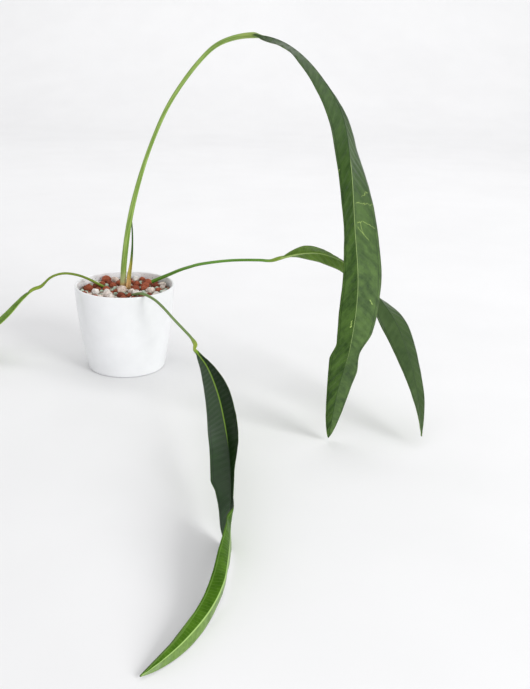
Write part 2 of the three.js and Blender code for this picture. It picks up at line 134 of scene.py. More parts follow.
@dataclass(frozen=True)
class Field:
    """One output socket of a graph, with arithmetic that adds nodes."""

    graph: "Graph"
    socket: bpy.types.NodeSocket

    def __add__(self, other: "Value") -> "Field":
        """The sum of two numbers."""
        return self.graph.math("ADD", self, other)

    def __sub__(self, other: "Value") -> "Field":
        """The difference of two numbers."""
        return self.graph.math("SUBTRACT", self, other)

    def __rsub__(self, other: float) -> "Field":
        """The difference of two numbers."""
        return self.graph.math("SUBTRACT", other, self)

    def __mul__(self, other: "Value") -> "Field":
        """The product of two numbers."""
        return self.graph.math("MULTIPLY", self, other)

    def __truediv__(self, other: "Value") -> "Field":
        """The quotient of two numbers."""
        return self.graph.math("DIVIDE", self, other)

    def __rtruediv__(self, other: float) -> "Field":
        """The quotient of two numbers."""
        return self.graph.math("DIVIDE", other, self)

    def __pow__(self, other: "Value") -> "Field":
        """This number to a power."""
        return self.graph.math("POWER", self, other)

    def __abs__(self) -> "Field":
        """This number without its sign."""
        return self.graph.math("ABSOLUTE", self)

    def __gt__(self, other: "Value") -> "Field":
        """1 where this number is the larger one, and 0 elsewhere."""
        return self.graph.math("GREATER_THAN", self, other)

    def __lt__(self, other: "Value") -> "Field":
        """1 where this number is the smaller one, and 0 elsewhere."""
        return self.graph.math("LESS_THAN", self, other)


Value = Union[Field, float, Sequence[float]]


class Graph:
    """A node tree that is written as formulas."""

    def __init__(self, tree: bpy.types.NodeTree) -> None:
        """Wraps a node tree.

        Args:
            tree: The tree to write in.
        """
        self.tree = tree
        self.entry: bpy.types.Node | None = None
        self.exit: bpy.types.Node | None = None

    @classmethod
    def group(cls, name: str, kind: TreeKind, takes: dict[str, Kind | float], gives: Sequence[str]) -> "Graph":
        """Starts a node group with named sockets.

        Args:
            name: The group's name.
            kind: Shader, which gives numbers, or geometry, which gives geometry.
            takes: Each input's name, with its kind or a number's default. A whole default makes a whole number.
            gives: Each output's name.

        Returns:
            The graph, with its entry and exit in place.
        """
        graph = cls(bpy.data.node_groups.new(name, kind.value))
        interface = graph.tree.interface
        for label, given in takes.items():
            has_default = not isinstance(given, Kind)
            number_kind = Kind.WHOLE if isinstance(given, int) else Kind.NUMBER
            socket_kind = number_kind if has_default else given
            item = interface.new_socket(name=label, in_out="INPUT", socket_type=socket_kind.value)
            if has_default:
                item.default_value = given
        given_kind = Kind.NUMBER if kind is TreeKind.SHADER else Kind.GEOMETRY
        for label in gives:
            interface.new_socket(name=label, in_out="OUTPUT", socket_type=given_kind.value)
        graph.entry = graph.add("NodeGroupInput")
        graph.exit = graph.add("NodeGroupOutput")
        return graph

    def add(self, node_type: str, **settings: object) -> bpy.types.Node:
        """Adds a node.

        Args:
            node_type: Blender's name for the node.
            **settings: Properties to set on it.

        Returns:
            The node.
        """
        node = self.tree.nodes.new(node_type)
        for name, value in settings.items():
            setattr(node, name, value)
        return node

    def put(self, socket: bpy.types.NodeSocket, value: object) -> None:
        """Links a field to a socket, or sets the socket's own value.

        Args:
            socket: The input.
            value: A field, or a plain value of the socket's kind.
        """
        if isinstance(value, Field):
            self.tree.links.new(value.socket, socket)
        else:
            socket.default_value = value

    def call(self, node_type: str, values: dict[str, object], output: str | int = 0, **settings: object) -> Field:
        """Adds a node and fills its inputs.

        Args:
            node_type: Blender's name for the node.
            values: Each input's name and value.
            output: The output to hand back, by name or place.
            **settings: Properties to set on it.

        Returns:
            The chosen output.
        """
        node = self.add(node_type, **settings)
        for name, value in values.items():
            self.put(node.inputs[name], value)
        return Field(self, node.outputs[output])

    def take(self, label: str) -> Field:
        """The group's input of that name."""
        return Field(self, self.entry.outputs[label])

    def give(self, label: str, value: Field) -> None:
        """Sends a field to the group's output of that name."""
        self.put(self.exit.inputs[label], value)

    def math(self, operation: str, *values: Value) -> Field:
        """A number worked out by one Math node.

        Args:
            operation: Blender's name for the operation.
            *values: Its numbers.

        Returns:
            The number.
        """
        node = self.add("ShaderNodeMath", operation=operation)
        for socket, value in zip(node.inputs, values):
            self.put(socket, value)
        return Field(self, node.outputs[0])

    def vector(self, operation: str, *values: Value) -> Field:
        """A vector or number worked out by one Vector Math node.

        Args:
            operation: Blender's name for the operation.
            *values: Its vectors, then its scale where it has one.

        Returns:
            The vector, or the number for a length, distance or dot product.
        """
        node = self.add("ShaderNodeVectorMath", operation=operation)
        sockets = [node.inputs[0], node.inputs["Scale"]] if operation == "SCALE" else list(node.inputs)
        for socket, value in zip(sockets, values):
            self.put(socket, value)
        gives_number = operation in {"DOT_PRODUCT", "LENGTH", "DISTANCE"}
        return Field(self, node.outputs["Value" if gives_number else "Vector"])

    def combine(self, x: Value, y: Value, z: Value = 0.0) -> Field:
        """A vector from three numbers."""
        return self.call("ShaderNodeCombineXYZ", {"X": x, "Y": y, "Z": z})

    def parts(self, value: Field) -> tuple[Field, ...]:
        """The three numbers of a vector."""
        node = self.call("ShaderNodeSeparateXYZ", {"Vector": value}).socket.node
        return tuple(Field(self, socket) for socket in node.outputs)

    def ease(self, value: Field, low: Value, high: Value, start: Value = 0.0, end: Value = 1.0) -> Field:
        """A smooth step, from a start below low to an end above high."""
        values = {"Value": value, "From Min": low, "From Max": high, "To Min": start, "To Max": end}
        return self.call("ShaderNodeMapRange", values, interpolation_type="SMOOTHSTEP")

    def _blend(self, values: Sequence[Value], places: Sequence[int], output: int, **settings: str) -> Field:
        """A blend of two values.

        Args:
            values: The second value's share, the first value and the second value.
            places: The place of each one's socket on the node.
            output: The place of the output.
            **settings: The kind of value and of blend.

        Returns:
            The blend.
        """
        node = self.add("ShaderNodeMix", **settings)
        for place, value in zip(places, values):
            self.put(node.inputs[place], value)
        return Field(self, node.outputs[output])

    def mix(self, share: Value, first: Value, second: Value) -> Field:
        """A blend of two numbers, by the second one's share."""
        return self._blend((share, first, second), (0, 2, 3), 0, data_type="FLOAT")

    def tint(self, share: Value, first: Value, second: Value) -> Field:
        """A blend of two colours, by the second one's share."""
        return self._blend((share, first, second), (0, 6, 7), 2, data_type="RGBA", blend_type="MIX")

    def shade(self, colour: Value, by: Value) -> Field:
        """A colour multiplied by another one."""
        return self._blend((1.0, colour, by), (0, 6, 7), 2, data_type="RGBA", blend_type="MULTIPLY")

    def noise(self, place: Field, scale: Value, detail: float = 2.0, roughness: float = 0.5) -> Field:
        """Soft noise from 0 to 1 that is read at a place."""
        values = {"Vector": place, "Scale": scale, "Detail": detail, "Roughness": roughness}
        return self.call("ShaderNodeTexNoise", values)

    def use(self, group: "Graph", values: dict[str, object]) -> dict[str, Field]:
        """Places a shader group.

        Args:
            group: The group's graph.
            values: Each input's name and value.

        Returns:
            The group's outputs by name.
        """
        node = self.add("ShaderNodeGroup", node_tree=group.tree)
        for name, value in values.items():
            self.put(node.inputs[name], value)
        return {socket.name: Field(self, socket) for socket in node.outputs}


# Rules that the leaf's shape and its colours share


def vein_phase(graph: Graph, along: Field, across: Field, spacing: Value, slant: Value) -> Field:
    """The count of side veins passed so far, which is whole on each vein.

    Args:
        graph: The graph to write in, of either kind.
        along: Millimetres along the midrib.
        across: Millimetres from the midrib, with its side's sign.
        spacing: Millimetres between two veins.
        slant: How far a vein runs along the leaf for each millimetre across it.

    Returns:
        The phase.
    """
    out = abs(across)
    wander = graph.noise(graph.combine(along, across * 0.6), 0.045, 1.0) - 0.5
    lag = out * slant + out * out * VEIN_BEND
    side = (across > 0.0) * 0.5
    return (along - lag) / spacing + wander * VEIN_WANDER + side


def vein_line(graph: Graph, phase: Field, width: float) -> Field:
    """A mask that is 1 on the veins of a phase, each of which takes a share of the spacing."""
    nearness = abs(graph.math("FRACT", phase) - 0.5) * 2.0
    return graph.ease(nearness, 1.0 - width, 1.0)


# Shader groups


class Effects:
    """The surface effects that more than one material uses, each built once as a node group."""

    def __init__(self) -> None:
        """Builds every group."""
        self.mottle = self._mottle()
        self.veins = self._veins()
        self.streaks = self._streaks()
        self.specks = self._specks()
        self.stroke = self._stroke()

    @staticmethod
    def _mottle() -> Graph:
        """Soft uneven tone, from a low value to a high one.

        Returns:
            The group.
        """
        takes = {"Place": Kind.VECTOR, "Scale": 1.0, "Low": 0.0, "High": 1.0}
        graph = Graph.group("tone_mottle", TreeKind.SHADER, takes, ["Value"])
        place, scale = graph.take("Place"), graph.take("Scale")
        coarse = graph.noise(place, scale, 3.0, 0.6)
        fine = graph.noise(place, scale * 4.3, 2.0, 0.5)
        blend = coarse * 0.7 + fine * 0.3
        graph.give("Value", graph.ease(blend, 0.3, 0.7, graph.take("Low"), graph.take("High")))
        return graph

    @staticmethod
    def _veins() -> Graph:
        """Side veins, their fine branches, the vein along the margin and broad bands that run with the veins.

        Returns:
            The group.
        """
        takes = {"Along": 0.0, "Across": 0.0, "Reach": 20.0, "Spacing": 6.0, "Slant": 0.6}
        graph = Graph.group("leaf_veins", TreeKind.SHADER, takes, ["Side", "Fine", "Margin", "Tone"])
        along, across, reach = graph.take("Along"), graph.take("Across"), graph.take("Reach")
        phase = vein_phase(graph, along, across, graph.take("Spacing"), graph.take("Slant"))
        share = abs(across) / graph.math("MAXIMUM", reach, 0.5)
        inside = graph.ease(share, 0.97, 0.8)
        graph.give("Side", vein_line(graph, phase, SIDE_VEIN_WIDTH) * inside)
        branch = graph.noise(graph.combine(along, across), 0.5, 1.0) * 0.5
        graph.give("Fine", vein_line(graph, phase * FINE_VEINS_A_SPACE + branch, FINE_VEIN_WIDTH) * inside)
        margin = graph.ease(abs(abs(across) - reach * MARGIN_VEIN_PLACE), 0.8, 0.2)
        graph.give("Margin", margin * graph.ease(reach, 4.0, 7.0))
        bands = graph.noise(graph.combine(phase * 0.3, across * 0.05, (across > 0.0) * 9.0), 1.0, 2.0)
        graph.give("Tone", graph.ease(bands, 0.3, 0.7))
        return graph

    @staticmethod
    def _streaks() -> Graph:
        """Fine lines that run along a stalk or a sheath.

        Returns:
            The group.
        """
        takes = {"Along": 0.0, "Turn": 0.0, "Count": 20.0, "Length": 12.0}
        graph = Graph.group("long_streaks", TreeKind.SHADER, takes, ["Value"])
        angle, count = graph.take("Turn") * math.pi, graph.take("Count")
        x, y = graph.math("COSINE", angle) * count, graph.math("SINE", angle) * count
        ring = graph.combine(x, y, graph.take("Along") / graph.take("Length"))
        graph.give("Value", graph.ease(graph.noise(ring, 1.0, 2.0), 0.35, 0.65))
        return graph

    @staticmethod
    def _specks() -> Graph:
        """Small round specks, of which only a share is drawn.

        Returns:
            The group.
        """
        takes = {"Place": Kind.VECTOR, "Scale": 1.0, "Size": 0.2, "Share": 0.5}
        graph = Graph.group("small_specks", TreeKind.SHADER, takes, ["Mask"])
        values = {"Vector": graph.take("Place"), "Scale": graph.take("Scale")}
        distance = graph.call("ShaderNodeTexVoronoi", values, "Distance")
        pick, size_pick, _ = graph.parts(Field(graph, distance.socket.node.outputs["Color"]))
        size = graph.take("Size") * (size_pick + 0.5)
        dot = graph.ease(distance, size, size * 0.5)
        graph.give("Mask", dot * (pick < graph.take("Share")))
        return graph

    @staticmethod
    def _stroke() -> Graph:
        """A thin wavering line between two places on the leaf.

        Returns:
            The group.
        """
        takes = {"Place": Kind.VECTOR, "From": Kind.VECTOR, "To": Kind.VECTOR, "Width": 0.5}
        graph = Graph.group("thin_stroke", TreeKind.SHADER, takes, ["Mask"])
        place, start = graph.take("Place"), graph.take("From")
        shake = graph.noise(place, 0.16, 3.0) - 0.5
        nudged = graph.vector("ADD", place, graph.combine(shake * 9.0, shake * -5.0))
        run = graph.vector("SUBTRACT", graph.take("To"), start)
        offset = graph.vector("SUBTRACT", nudged, start)
        length = graph.vector("DOT_PRODUCT", run, run)
        part = graph.vector("DOT_PRODUCT", offset, run) / length
        held = graph.math("MINIMUM", graph.math("MAXIMUM", part, 0.0), 1.0)
        distance = graph.vector("DISTANCE", offset, graph.vector("SCALE", run, held))
        width = graph.take("Width")
        gaps = graph.ease(graph.noise(place, 0.7, 2.0), 0.32, 0.5)
        graph.give("Mask", graph.ease(distance, width, width * 0.35) * gaps)
        return graph


# Finishes


@dataclass
class Surface:
    """A material in the making: its graph and its Principled shader."""

    name: str
    effects: Effects
    material: bpy.types.Material = field(init=False)
    graph: Graph = field(init=False)
    shader: bpy.types.Node = field(init=False)

    def __post_init__(self) -> None:
        """Makes the material and finds its shader."""
        self.material = bpy.data.materials.new(self.name)
        self.material.use_nodes = True
        self.graph = Graph(self.material.node_tree)
        self.shader = self.material.node_tree.nodes["Principled BSDF"]

    def put(self, **sockets: object) -> None:
        """Sets the shader's sockets, with underscores for the spaces in their names."""
        for name, value in sockets.items():
            self.graph.put(self.shader.inputs[name.replace("_", " ")], value)

    def attribute(self, name: str) -> Field:
        """A number that the mesh carries."""
        return Field(self.graph, self.graph.add("ShaderNodeAttribute", attribute_name=name).outputs["Fac"])

    @cached_property
    def place(self) -> Field:
        """The Object coordinates in millimetres."""
        return self.graph.vector("SCALE", self.graph.call("ShaderNodeTexCoord", {}, "Object"), 1 / MM)

    def tone(self, scale: float, low: float = 0.0, high: float = 1.0) -> Field:
        """Soft uneven tone over the surface, from a low value to a high one."""
        values = {"Place": self.place, "Scale": scale, "Low": low, "High": high}
        return self.graph.use(self.effects.mottle, values)["Value"]

    def specks(self, scale: float, size: float, share: float) -> Field:
        """The mask of small round specks over the surface, of which only a share is drawn."""
        values = {"Place": self.place, "Scale": scale, "Size": size, "Share": share}
        return self.graph.use(self.effects.specks, values)["Mask"]

    def streaks(self, along: Field, count: float, length: float) -> Field:
        """Fine lines that run along the piece, by their count and their length in millimetres."""
        values = {"Along": along, "Turn": self.attribute("turn"), "Count": count, "Length": length}
        return self.graph.use(self.effects.streaks, values)["Value"]

    def bump(self, height: Field, distance: float, strength: float = 1.0) -> None:
        """Lets a height of 0 to 1, which stands for a distance in millimetres, shape the light."""
        values = {"Height": height, "Distance": distance * MM, "Strength": strength}
        self.put(Normal=self.graph.call("ShaderNodeBump", values, "Normal"))


class Finish(ABC):
    """A look, from which its material is built."""

    name: str
    specular: float

    def material(self, effects: Effects) -> bpy.types.Material:
        """Builds the material.

        Args:
            effects: The shared effects.

        Returns:
            The material.
        """
        surface = Surface(self.name, effects)
        surface.put(Specular_IOR_Level=self.specular)
        self.dress(surface)
        return surface.material

    @abstractmethod
    def dress(self, surface: Surface) -> None:
        """Writes the look's colour, roughness and bump into a surface."""


@dataclass(frozen=True)
class Glaze(Finish):
    """The pot's white satin glaze, with faint waves, a greyer inside and a few dark specks."""

    name: str = "white_glaze"
    body: Colour = paint(241, 242, 244)
    shade: Colour = paint(236, 237, 239)
    inside: Colour = paint(249, 250, 254)
    lower_inner_grey: Colour = paint(222, 222, 228)
    speck: Colour = paint(120, 116, 118)
    roughness: float = 0.28
    inner_roughness: float = 0.25
    gloss_spread: float = 0.09
    coat: tuple[float, float] = (0.32, 0.18)
    coat_roughness: float = 0.12
    specular: float = 0.5

    def dress(self, surface: Surface) -> None:
        """Writes the outer and the inner glaze, told apart by how far the place lies from the outer wall.

        Args:
            surface: The material in the making.
        """
        graph = surface.graph
        x, y, z = graph.parts(surface.place)
        outer = graph.tint(surface.tone(0.018), self.shade, self.body)
        depth = POT.outer_radius_field(z) - graph.math("SQRT", x * x + y * y)
        within = graph.ease(depth, 1.6, 2.4) * graph.ease(z, 3.0, 5.5)
        low = graph.ease(z, 104.0, 92.0)
        # The inner wall turns greyer lower down, towards the mix
        inner = graph.tint(surface.tone(0.09) * low * 0.35, self.inside, self.lower_inner_grey)
        dots = surface.specks(0.55, 0.36, 0.42)
        crumbs = graph.tint(dots * within * graph.ease(z, 104.5, 97.0) * 0.8, inner, self.speck)
        surface.put(Base_Color=graph.tint(within, outer, crumbs))
        gloss = surface.tone(0.12, 0.0, self.gloss_spread)
        surface.put(Roughness=gloss + within * self.inner_roughness + self.roughness)
        surface.put(Coat_Roughness=self.coat_roughness)
        surface.put(Coat_Weight=graph.ease(gloss, 0.0, self.gloss_spread, *self.coat))
        wave = graph.noise(surface.place, 0.035, 1.0)
        grain = graph.noise(surface.place, 0.9, 2.0)
        surface.bump(wave * 0.9 + grain * 0.03, 0.5, 0.12)


@dataclass(frozen=True)
class GrainFinish(Finish):
    """The dry matt skin of one kind of grain."""

    name: str
    tones: tuple[Colour, Colour, Colour]
    pore_and_shade: Colour
    pore_scale: float
    pore_share: float
    roughness: float
    relief: float
    pore_size: float = 0.42
    specular: float = 0.25

    def dress(self, surface: Surface) -> None:
        """Writes one of three tones for each grain, with clouds, pores and painted shade on its lower side.

        Args:
            surface: The material in the making.
        """
        graph = surface.graph
        values = {"W": surface.attribute("grain_number")}
        pick = graph.call("ShaderNodeTexWhiteNoise", values, "Value", noise_dimensions="1D")
        tone = graph.tint(graph.ease(pick, 0.0, 0.5), self.tones[0], self.tones[1])
        tone = graph.tint(graph.ease(pick, 0.5, 1.0), tone, self.tones[2])
        cloud = surface.tone(0.22, 0.62, 1.08)
        clouded = graph.shade(tone, graph.combine(cloud, cloud, cloud))
        pores = surface.specks(self.pore_scale, self.pore_size, self.pore_share)
        # Painted shade: each grain is darkened towards its lower side, where it sits in the mix
        low = graph.ease(surface.attribute("grain_height"), 0.45, -0.5)
        pores_and_painted_shade = graph.math("MAXIMUM", pores * 0.65, low * 0.7)
        surface.put(Base_Color=graph.tint(pores_and_painted_shade, clouded, self.pore_and_shade))
        surface.put(Roughness=graph.ease(cloud, 0.6, 1.1, self.roughness + 0.08, self.roughness - 0.06))
        grit = graph.noise(surface.place, 1.6, 3.0, 0.65)
        surface.bump(grit - pores * 0.8, self.relief)


@dataclass(frozen=True)
class BedFinish(Finish):
    """The dark damp fines between the grains."""

    name: str = "fine_mix"
    dark: Colour = paint(46, 34, 28)
    light: Colour = paint(112, 84, 66)
    bit: Colour = paint(150, 132, 112)
    specular: float = 0.2

    def dress(self, surface: Surface) -> None:
        """Writes an uneven dark tone with paler bits in it.

        Args:
            surface: The material in the making.
        """
        graph = surface.graph
        tone = surface.tone(0.35)
        bits = surface.specks(0.7, 0.4, 0.35)
        surface.put(Base_Color=graph.tint(bits * 0.7, graph.tint(tone, self.dark, self.light), self.bit))
        surface.put(Roughness=graph.ease(tone, 0.0, 1.0, 0.95, 0.8))
        surface.bump(tone + bits, 0.8)


@dataclass(frozen=True)
class Bark(Finish):
    """The woody stem and its roots."""

    name: str = "stem_bark"
    dark: Colour = paint(92, 66, 40)
    light: Colour = paint(168, 132, 84)
    specular: float = 0.3

    def dress(self, surface: Surface) -> None:
        """Writes tone that is flattened into rings round the stem.

        Args:
            surface: The material in the making.
        """
        graph = surface.graph
        rings = graph.vector("MULTIPLY", surface.place, (1.0, 1.0, 4.0))
        tone = graph.use(surface.effects.mottle, {"Place": rings, "Scale": 0.12})["Value"]
        surface.put(Base_Color=graph.tint(tone, self.dark, self.light))
        surface.put(Roughness=graph.ease(tone, 0.0, 1.0, 0.85, 0.68))
        surface.bump(tone, 0.6)


@dataclass(frozen=True)
class SheathFinish(Finish):
    """The dry sheath: orange tan at its foot, then yellow green, then olive with a brown point."""

    name: str = "sheath_skin"
    foot: Colour = paint(244, 198, 136)
    middle: Colour = paint(208, 196, 92)
    top: Colour = paint(84, 126, 46)
    point: Colour = paint(92, 74, 40)
    streak: Colour = paint(150, 150, 140)
    specular: float = 0.4

    def dress(self, surface: Surface) -> None:
        """Writes the colours from the foot to the point, with streaks along them.

        Args:
            surface: The material in the making.
        """
        graph = surface.graph
        along = surface.attribute("along")
        whole = graph.tint(graph.ease(along, 8.0, 24.0), self.foot, self.middle)
        whole = graph.tint(graph.ease(along, 24.0, 50.0), whole, self.top)
        whole = graph.tint(graph.ease(along, 84.0, 94.0), whole, self.point)
        streak = surface.streaks(along, 2.6, 22.0)
        surface.put(Base_Color=graph.tint(streak * 0.5, whole, graph.shade(whole, self.streak)))
        surface.put(Roughness=graph.ease(streak, 0.0, 1.0, 0.5, 0.62))
        surface.bump(streak, 0.25)


@dataclass(frozen=True)
class Scar:
    """A healed scratch on a blade, from one place to another in millimetres along and across it."""

    start: tuple[float, float]
    end: tuple[float, float]
    width: float = 0.38


@dataclass(frozen=True)
class LeafFinish(Finish):
    """One leaf's colours, from the foot of its stalk to the tip of its blade.

    Each pair of colours holds a dark and a light tone. The stalk's four colours run from its foot to the swelling
    under the blade. A pale stretch is a part of the upper midrib, in millimetres along the blade, that stands out.
    Gloss and a painted shade on the upper face are given for the near half and the far half, past the place along
    the blade where the lit side swaps halves; before it they are the other way round. The depth is how far a half's
    colour is darkened towards the painted shade tint, standing in for that half being turned from the light. The
    near painted sheen pales the near half's under face where the light falls on it. The mottle grows from its start
    towards the tip.
    """

    name: str
    upper: tuple[Colour, Colour]
    under: tuple[Colour, Colour]
    rib: Colour
    under_rib: Colour
    stalk: tuple[Colour, Colour, Colour, Colour]
    stalk_length: float
    blade_length: float
    pale_stretches: tuple[tuple[float, float], ...]
    rib_width: float = 0.7
    gloss: tuple[float, float] = (0.32, 0.32)
    # Painted shade on each half's upper face, near then far, as a share of the darkening
    depth: tuple[float, float] = (0.0, 0.0)
    lit_side_swap: float = -100.0
    near_painted_sheen: float = 0.0
    roughness: float = 0.36
    coat_roughness: float = 0.34
    specular: float = 0.02
    mottle_start: float = 0.0
    mottle: float = 0.6
    vein_spacing: float = 3.2
    vein_slant: float = 0.55
    vein_strength: float = 0.2
    scars: tuple[Scar, ...] = ()
    scar: Colour = paint(150, 172, 96)
    painted_shade_tint: Colour = paint(158, 172, 130)
    vein_shade: Colour = paint(160, 174, 150)
    streak: Colour = paint(164, 184, 132)

    def dress(self, surface: Surface) -> None:
        """Writes the stalk, both faces of the blade, its ribs, edge and scars, and the light on them.

        Args:
            surface: The material in the making.
        """
        graph = surface.graph
        along, across = surface.attribute("along"), surface.attribute("across")
        reach, under = surface.attribute("reach"), surface.attribute("under")
        opened = graph.ease(along, -1.0, 5.0)
        values = {"Along": along, "Across": across, "Reach": reach}
        veins = graph.use(surface.effects.veins, values | {"Spacing": self.vein_spacing, "Slant": self.vein_slant})
        cloud, patch = surface.tone(0.035), surface.tone(0.16)
        facing = graph.ease(under, 0.35, 0.65)
        near = graph.ease(across, -1.0, 1.0)
        half = graph.mix(graph.ease(along, self.lit_side_swap, self.lit_side_swap + 60.0), 1.0 - near, near)
        upper = self._upper(graph, veins, along, cloud, patch)
        # Painted shade: the half turned from the light has its upper colour darkened by its depth share
        upper = graph.tint(graph.mix(half, self.depth[1], self.depth[0]), upper, graph.shade(upper, self.painted_shade_tint))
        lower = self._lower(graph, veins, cloud, patch)
        # Painted sheen: the near half's under face is paled towards the under midrib's colour where the light falls
        # on it
        lower = graph.tint(near * (patch * 0.6 + 0.6) * self.near_painted_sheen, lower, self.under_rib)
        blade = graph.tint(facing, upper, lower)
        rib, groove = self._rib(graph, along, across)
        # Painted shade in the groove beside the midrib: darkened towards the upper face's dark tone
        blade = graph.tint(groove * (1.0 - facing) * 0.8, blade, self.upper[0])
        blade = graph.tint(rib * (1.0 - facing), blade, self.rib)
        blade = graph.tint(self._under_rib(graph, along, across) * facing, blade, self.under_rib)
        edge = graph.ease(reach - abs(across), 0.7, 0.1) * opened
        blade = graph.tint(edge * 0.25, blade, self.under_rib)
        for mark in self._scars(surface, graph.combine(along, across)):
            blade = graph.tint(mark * (1.0 - facing) * 0.85, blade, self.scar)
        surface.put(Base_Color=graph.tint(opened, self._stalk(surface, along), blade))
        surface.put(Coat_Weight=graph.mix(half, self.gloss[1], self.gloss[0]), Coat_Roughness=self.coat_roughness)
        surface.put(Roughness=graph.ease(patch, 0.0, 1.0, -0.05, 0.06) + self.roughness)
        hollow = veins["Side"] * -0.5 - veins["Fine"] * 0.15 - veins["Margin"] * 0.8
        turned = graph.mix(facing, hollow, hollow * -1.0)
        grain = graph.noise(surface.place, 0.8, 2.0) * 0.25
        surface.bump((turned + patch * 0.3 - groove * 0.8) * opened + grain, 0.16)

    def _upper(self, graph: Graph, veins: dict[str, Field], along: Field, cloud: Field, patch: Field) -> Field:
        """The upper face's colour.

        Args:
            graph: The material's graph.
            veins: The vein masks.
            along: Millimetres along the blade.
            cloud: Broad uneven tone.
            patch: Fine uneven tone.

        Returns:
            The colour.
        """
        blend = veins["Tone"] * 0.55 + patch * 0.45
        growing = graph.ease(along, self.mottle_start, self.mottle_start + 110.0, 0.45, 1.0) * self.mottle
        tone = graph.tint(cloud * 0.25 + blend * growing, self.upper[0], self.upper[1])
        lined = graph.tint(veins["Side"] * self.vein_strength, tone, self.upper[1])
        # Painted shade in the sunken fine veins and the sunken vein along the margin
        sunken_vein_shade = graph.math("MAXIMUM", veins["Fine"] * 0.25, veins["Margin"] * 0.7)
        return graph.tint(sunken_vein_shade, lined, graph.shade(tone, self.vein_shade))

    def _lower(self, graph: Graph, veins: dict[str, Field], cloud: Field, patch: Field) -> Field:
        """The under face's colour.

        Args:
            graph: The material's graph.
            veins: The vein masks.
            cloud: Broad uneven tone.
            patch: Fine uneven tone.

        Returns:
            The colour.
        """
        tone = graph.tint(cloud * 0.4 + patch * 0.3 + veins["Tone"] * 0.3, self.under[0], self.under[1])
        pale = graph.math("MAXIMUM", veins["Side"] * 0.1, veins["Margin"] * 0.15)
        return graph.tint(pale, tone, self.under_rib)

    def _rib(self, graph: Graph, along: Field, across: Field) -> tuple[Field, Field]:
        """The upper midrib: its pale stretches, and the groove that the rest of it lies in.

        Args:
            graph: The material's graph.
            along: Millimetres along the blade.
            across: Millimetres from the midrib.

        Returns:
            The pale line's mask and the groove's mask; the groove is sunk by the bump and darkened in colour as
            painted shade.
        """
        wide = graph.ease(along, 0.0, self.blade_length, 1.0, 0.5) * self.rib_width
        line = graph.ease(abs(across), wide, wide * 0.45)
        broken = graph.noise(graph.combine(along, across * 0.2), 0.1, 2.0)
        stretches = [
            graph.ease(along, start, start + 12.0) * graph.ease(along, end, end - 40.0)
            for start, end in self.pale_stretches
        ]
        shown = reduce(lambda first, second: graph.math("MAXIMUM", first, second), stretches)
        pale = line * shown * graph.ease(broken, 0.25, 0.45, 0.65, 1.0)
        return pale, graph.ease(abs(across), wide * 2.2, wide)

    def _under_rib(self, graph: Graph, along: Field, across: Field) -> Field:
        """The mask of the broad midrib under the blade, which thins towards the tip."""
        wide = graph.ease(along, 0.0, self.blade_length, 1.6, 0.5) * self.rib_width
        return graph.ease(abs(across), wide, wide * 0.5)

    def _scars(self, surface: Surface, place: Field) -> Iterator[Field]:
        """The mask of each scar.

        Args:
            surface: The material in the making.
            place: Millimetres along and across the blade.

        Returns:
            The masks.
        """
        for scar in self.scars:
            values = {"Place": place, "From": (*scar.start, 0.0), "To": (*scar.end, 0.0), "Width": scar.width}
            yield surface.graph.use(surface.effects.stroke, values)["Mask"]

    def _stalk(self, surface: Surface, along: Field) -> Field:
        """The stalk's colour.

        Args:
            surface: The material in the making.
            along: Millimetres from the blade, negative on the stalk.

        Returns:
            The colour.
        """
        graph = surface.graph
        height = along + self.stalk_length
        foot, collar, middle, swelling = self.stalk
        body = graph.tint(graph.ease(height, 5.0, 13.0), foot, collar)
        body = graph.tint(graph.ease(height, 12.0, 30.0), body, middle)
        body = graph.tint(graph.ease(along, -24.0, -6.0), body, swelling)
        return graph.tint(surface.streaks(along, 2.4, 30.0) * 0.75, body, graph.shade(body, self.streak))


@dataclass(frozen=True)
class FloorFinish(Finish):
    """The pale matt floor under the pot."""

    name: str = "pale_floor"
    light: Colour = paint(238, 238, 239)
    dark: Colour = paint(234, 234, 235)
    specular: float = 0.1

    def dress(self, surface: Surface) -> None:
        """Writes a nearly even tone.

        Args:
            surface: The material in the making.
        """
        tone = surface.tone(0.002)
        surface.put(Base_Color=surface.graph.tint(tone, self.dark, self.light))
        surface.put(Roughness=surface.graph.ease(tone, 0.0, 1.0, 0.9, 0.84))


# Geometry trees


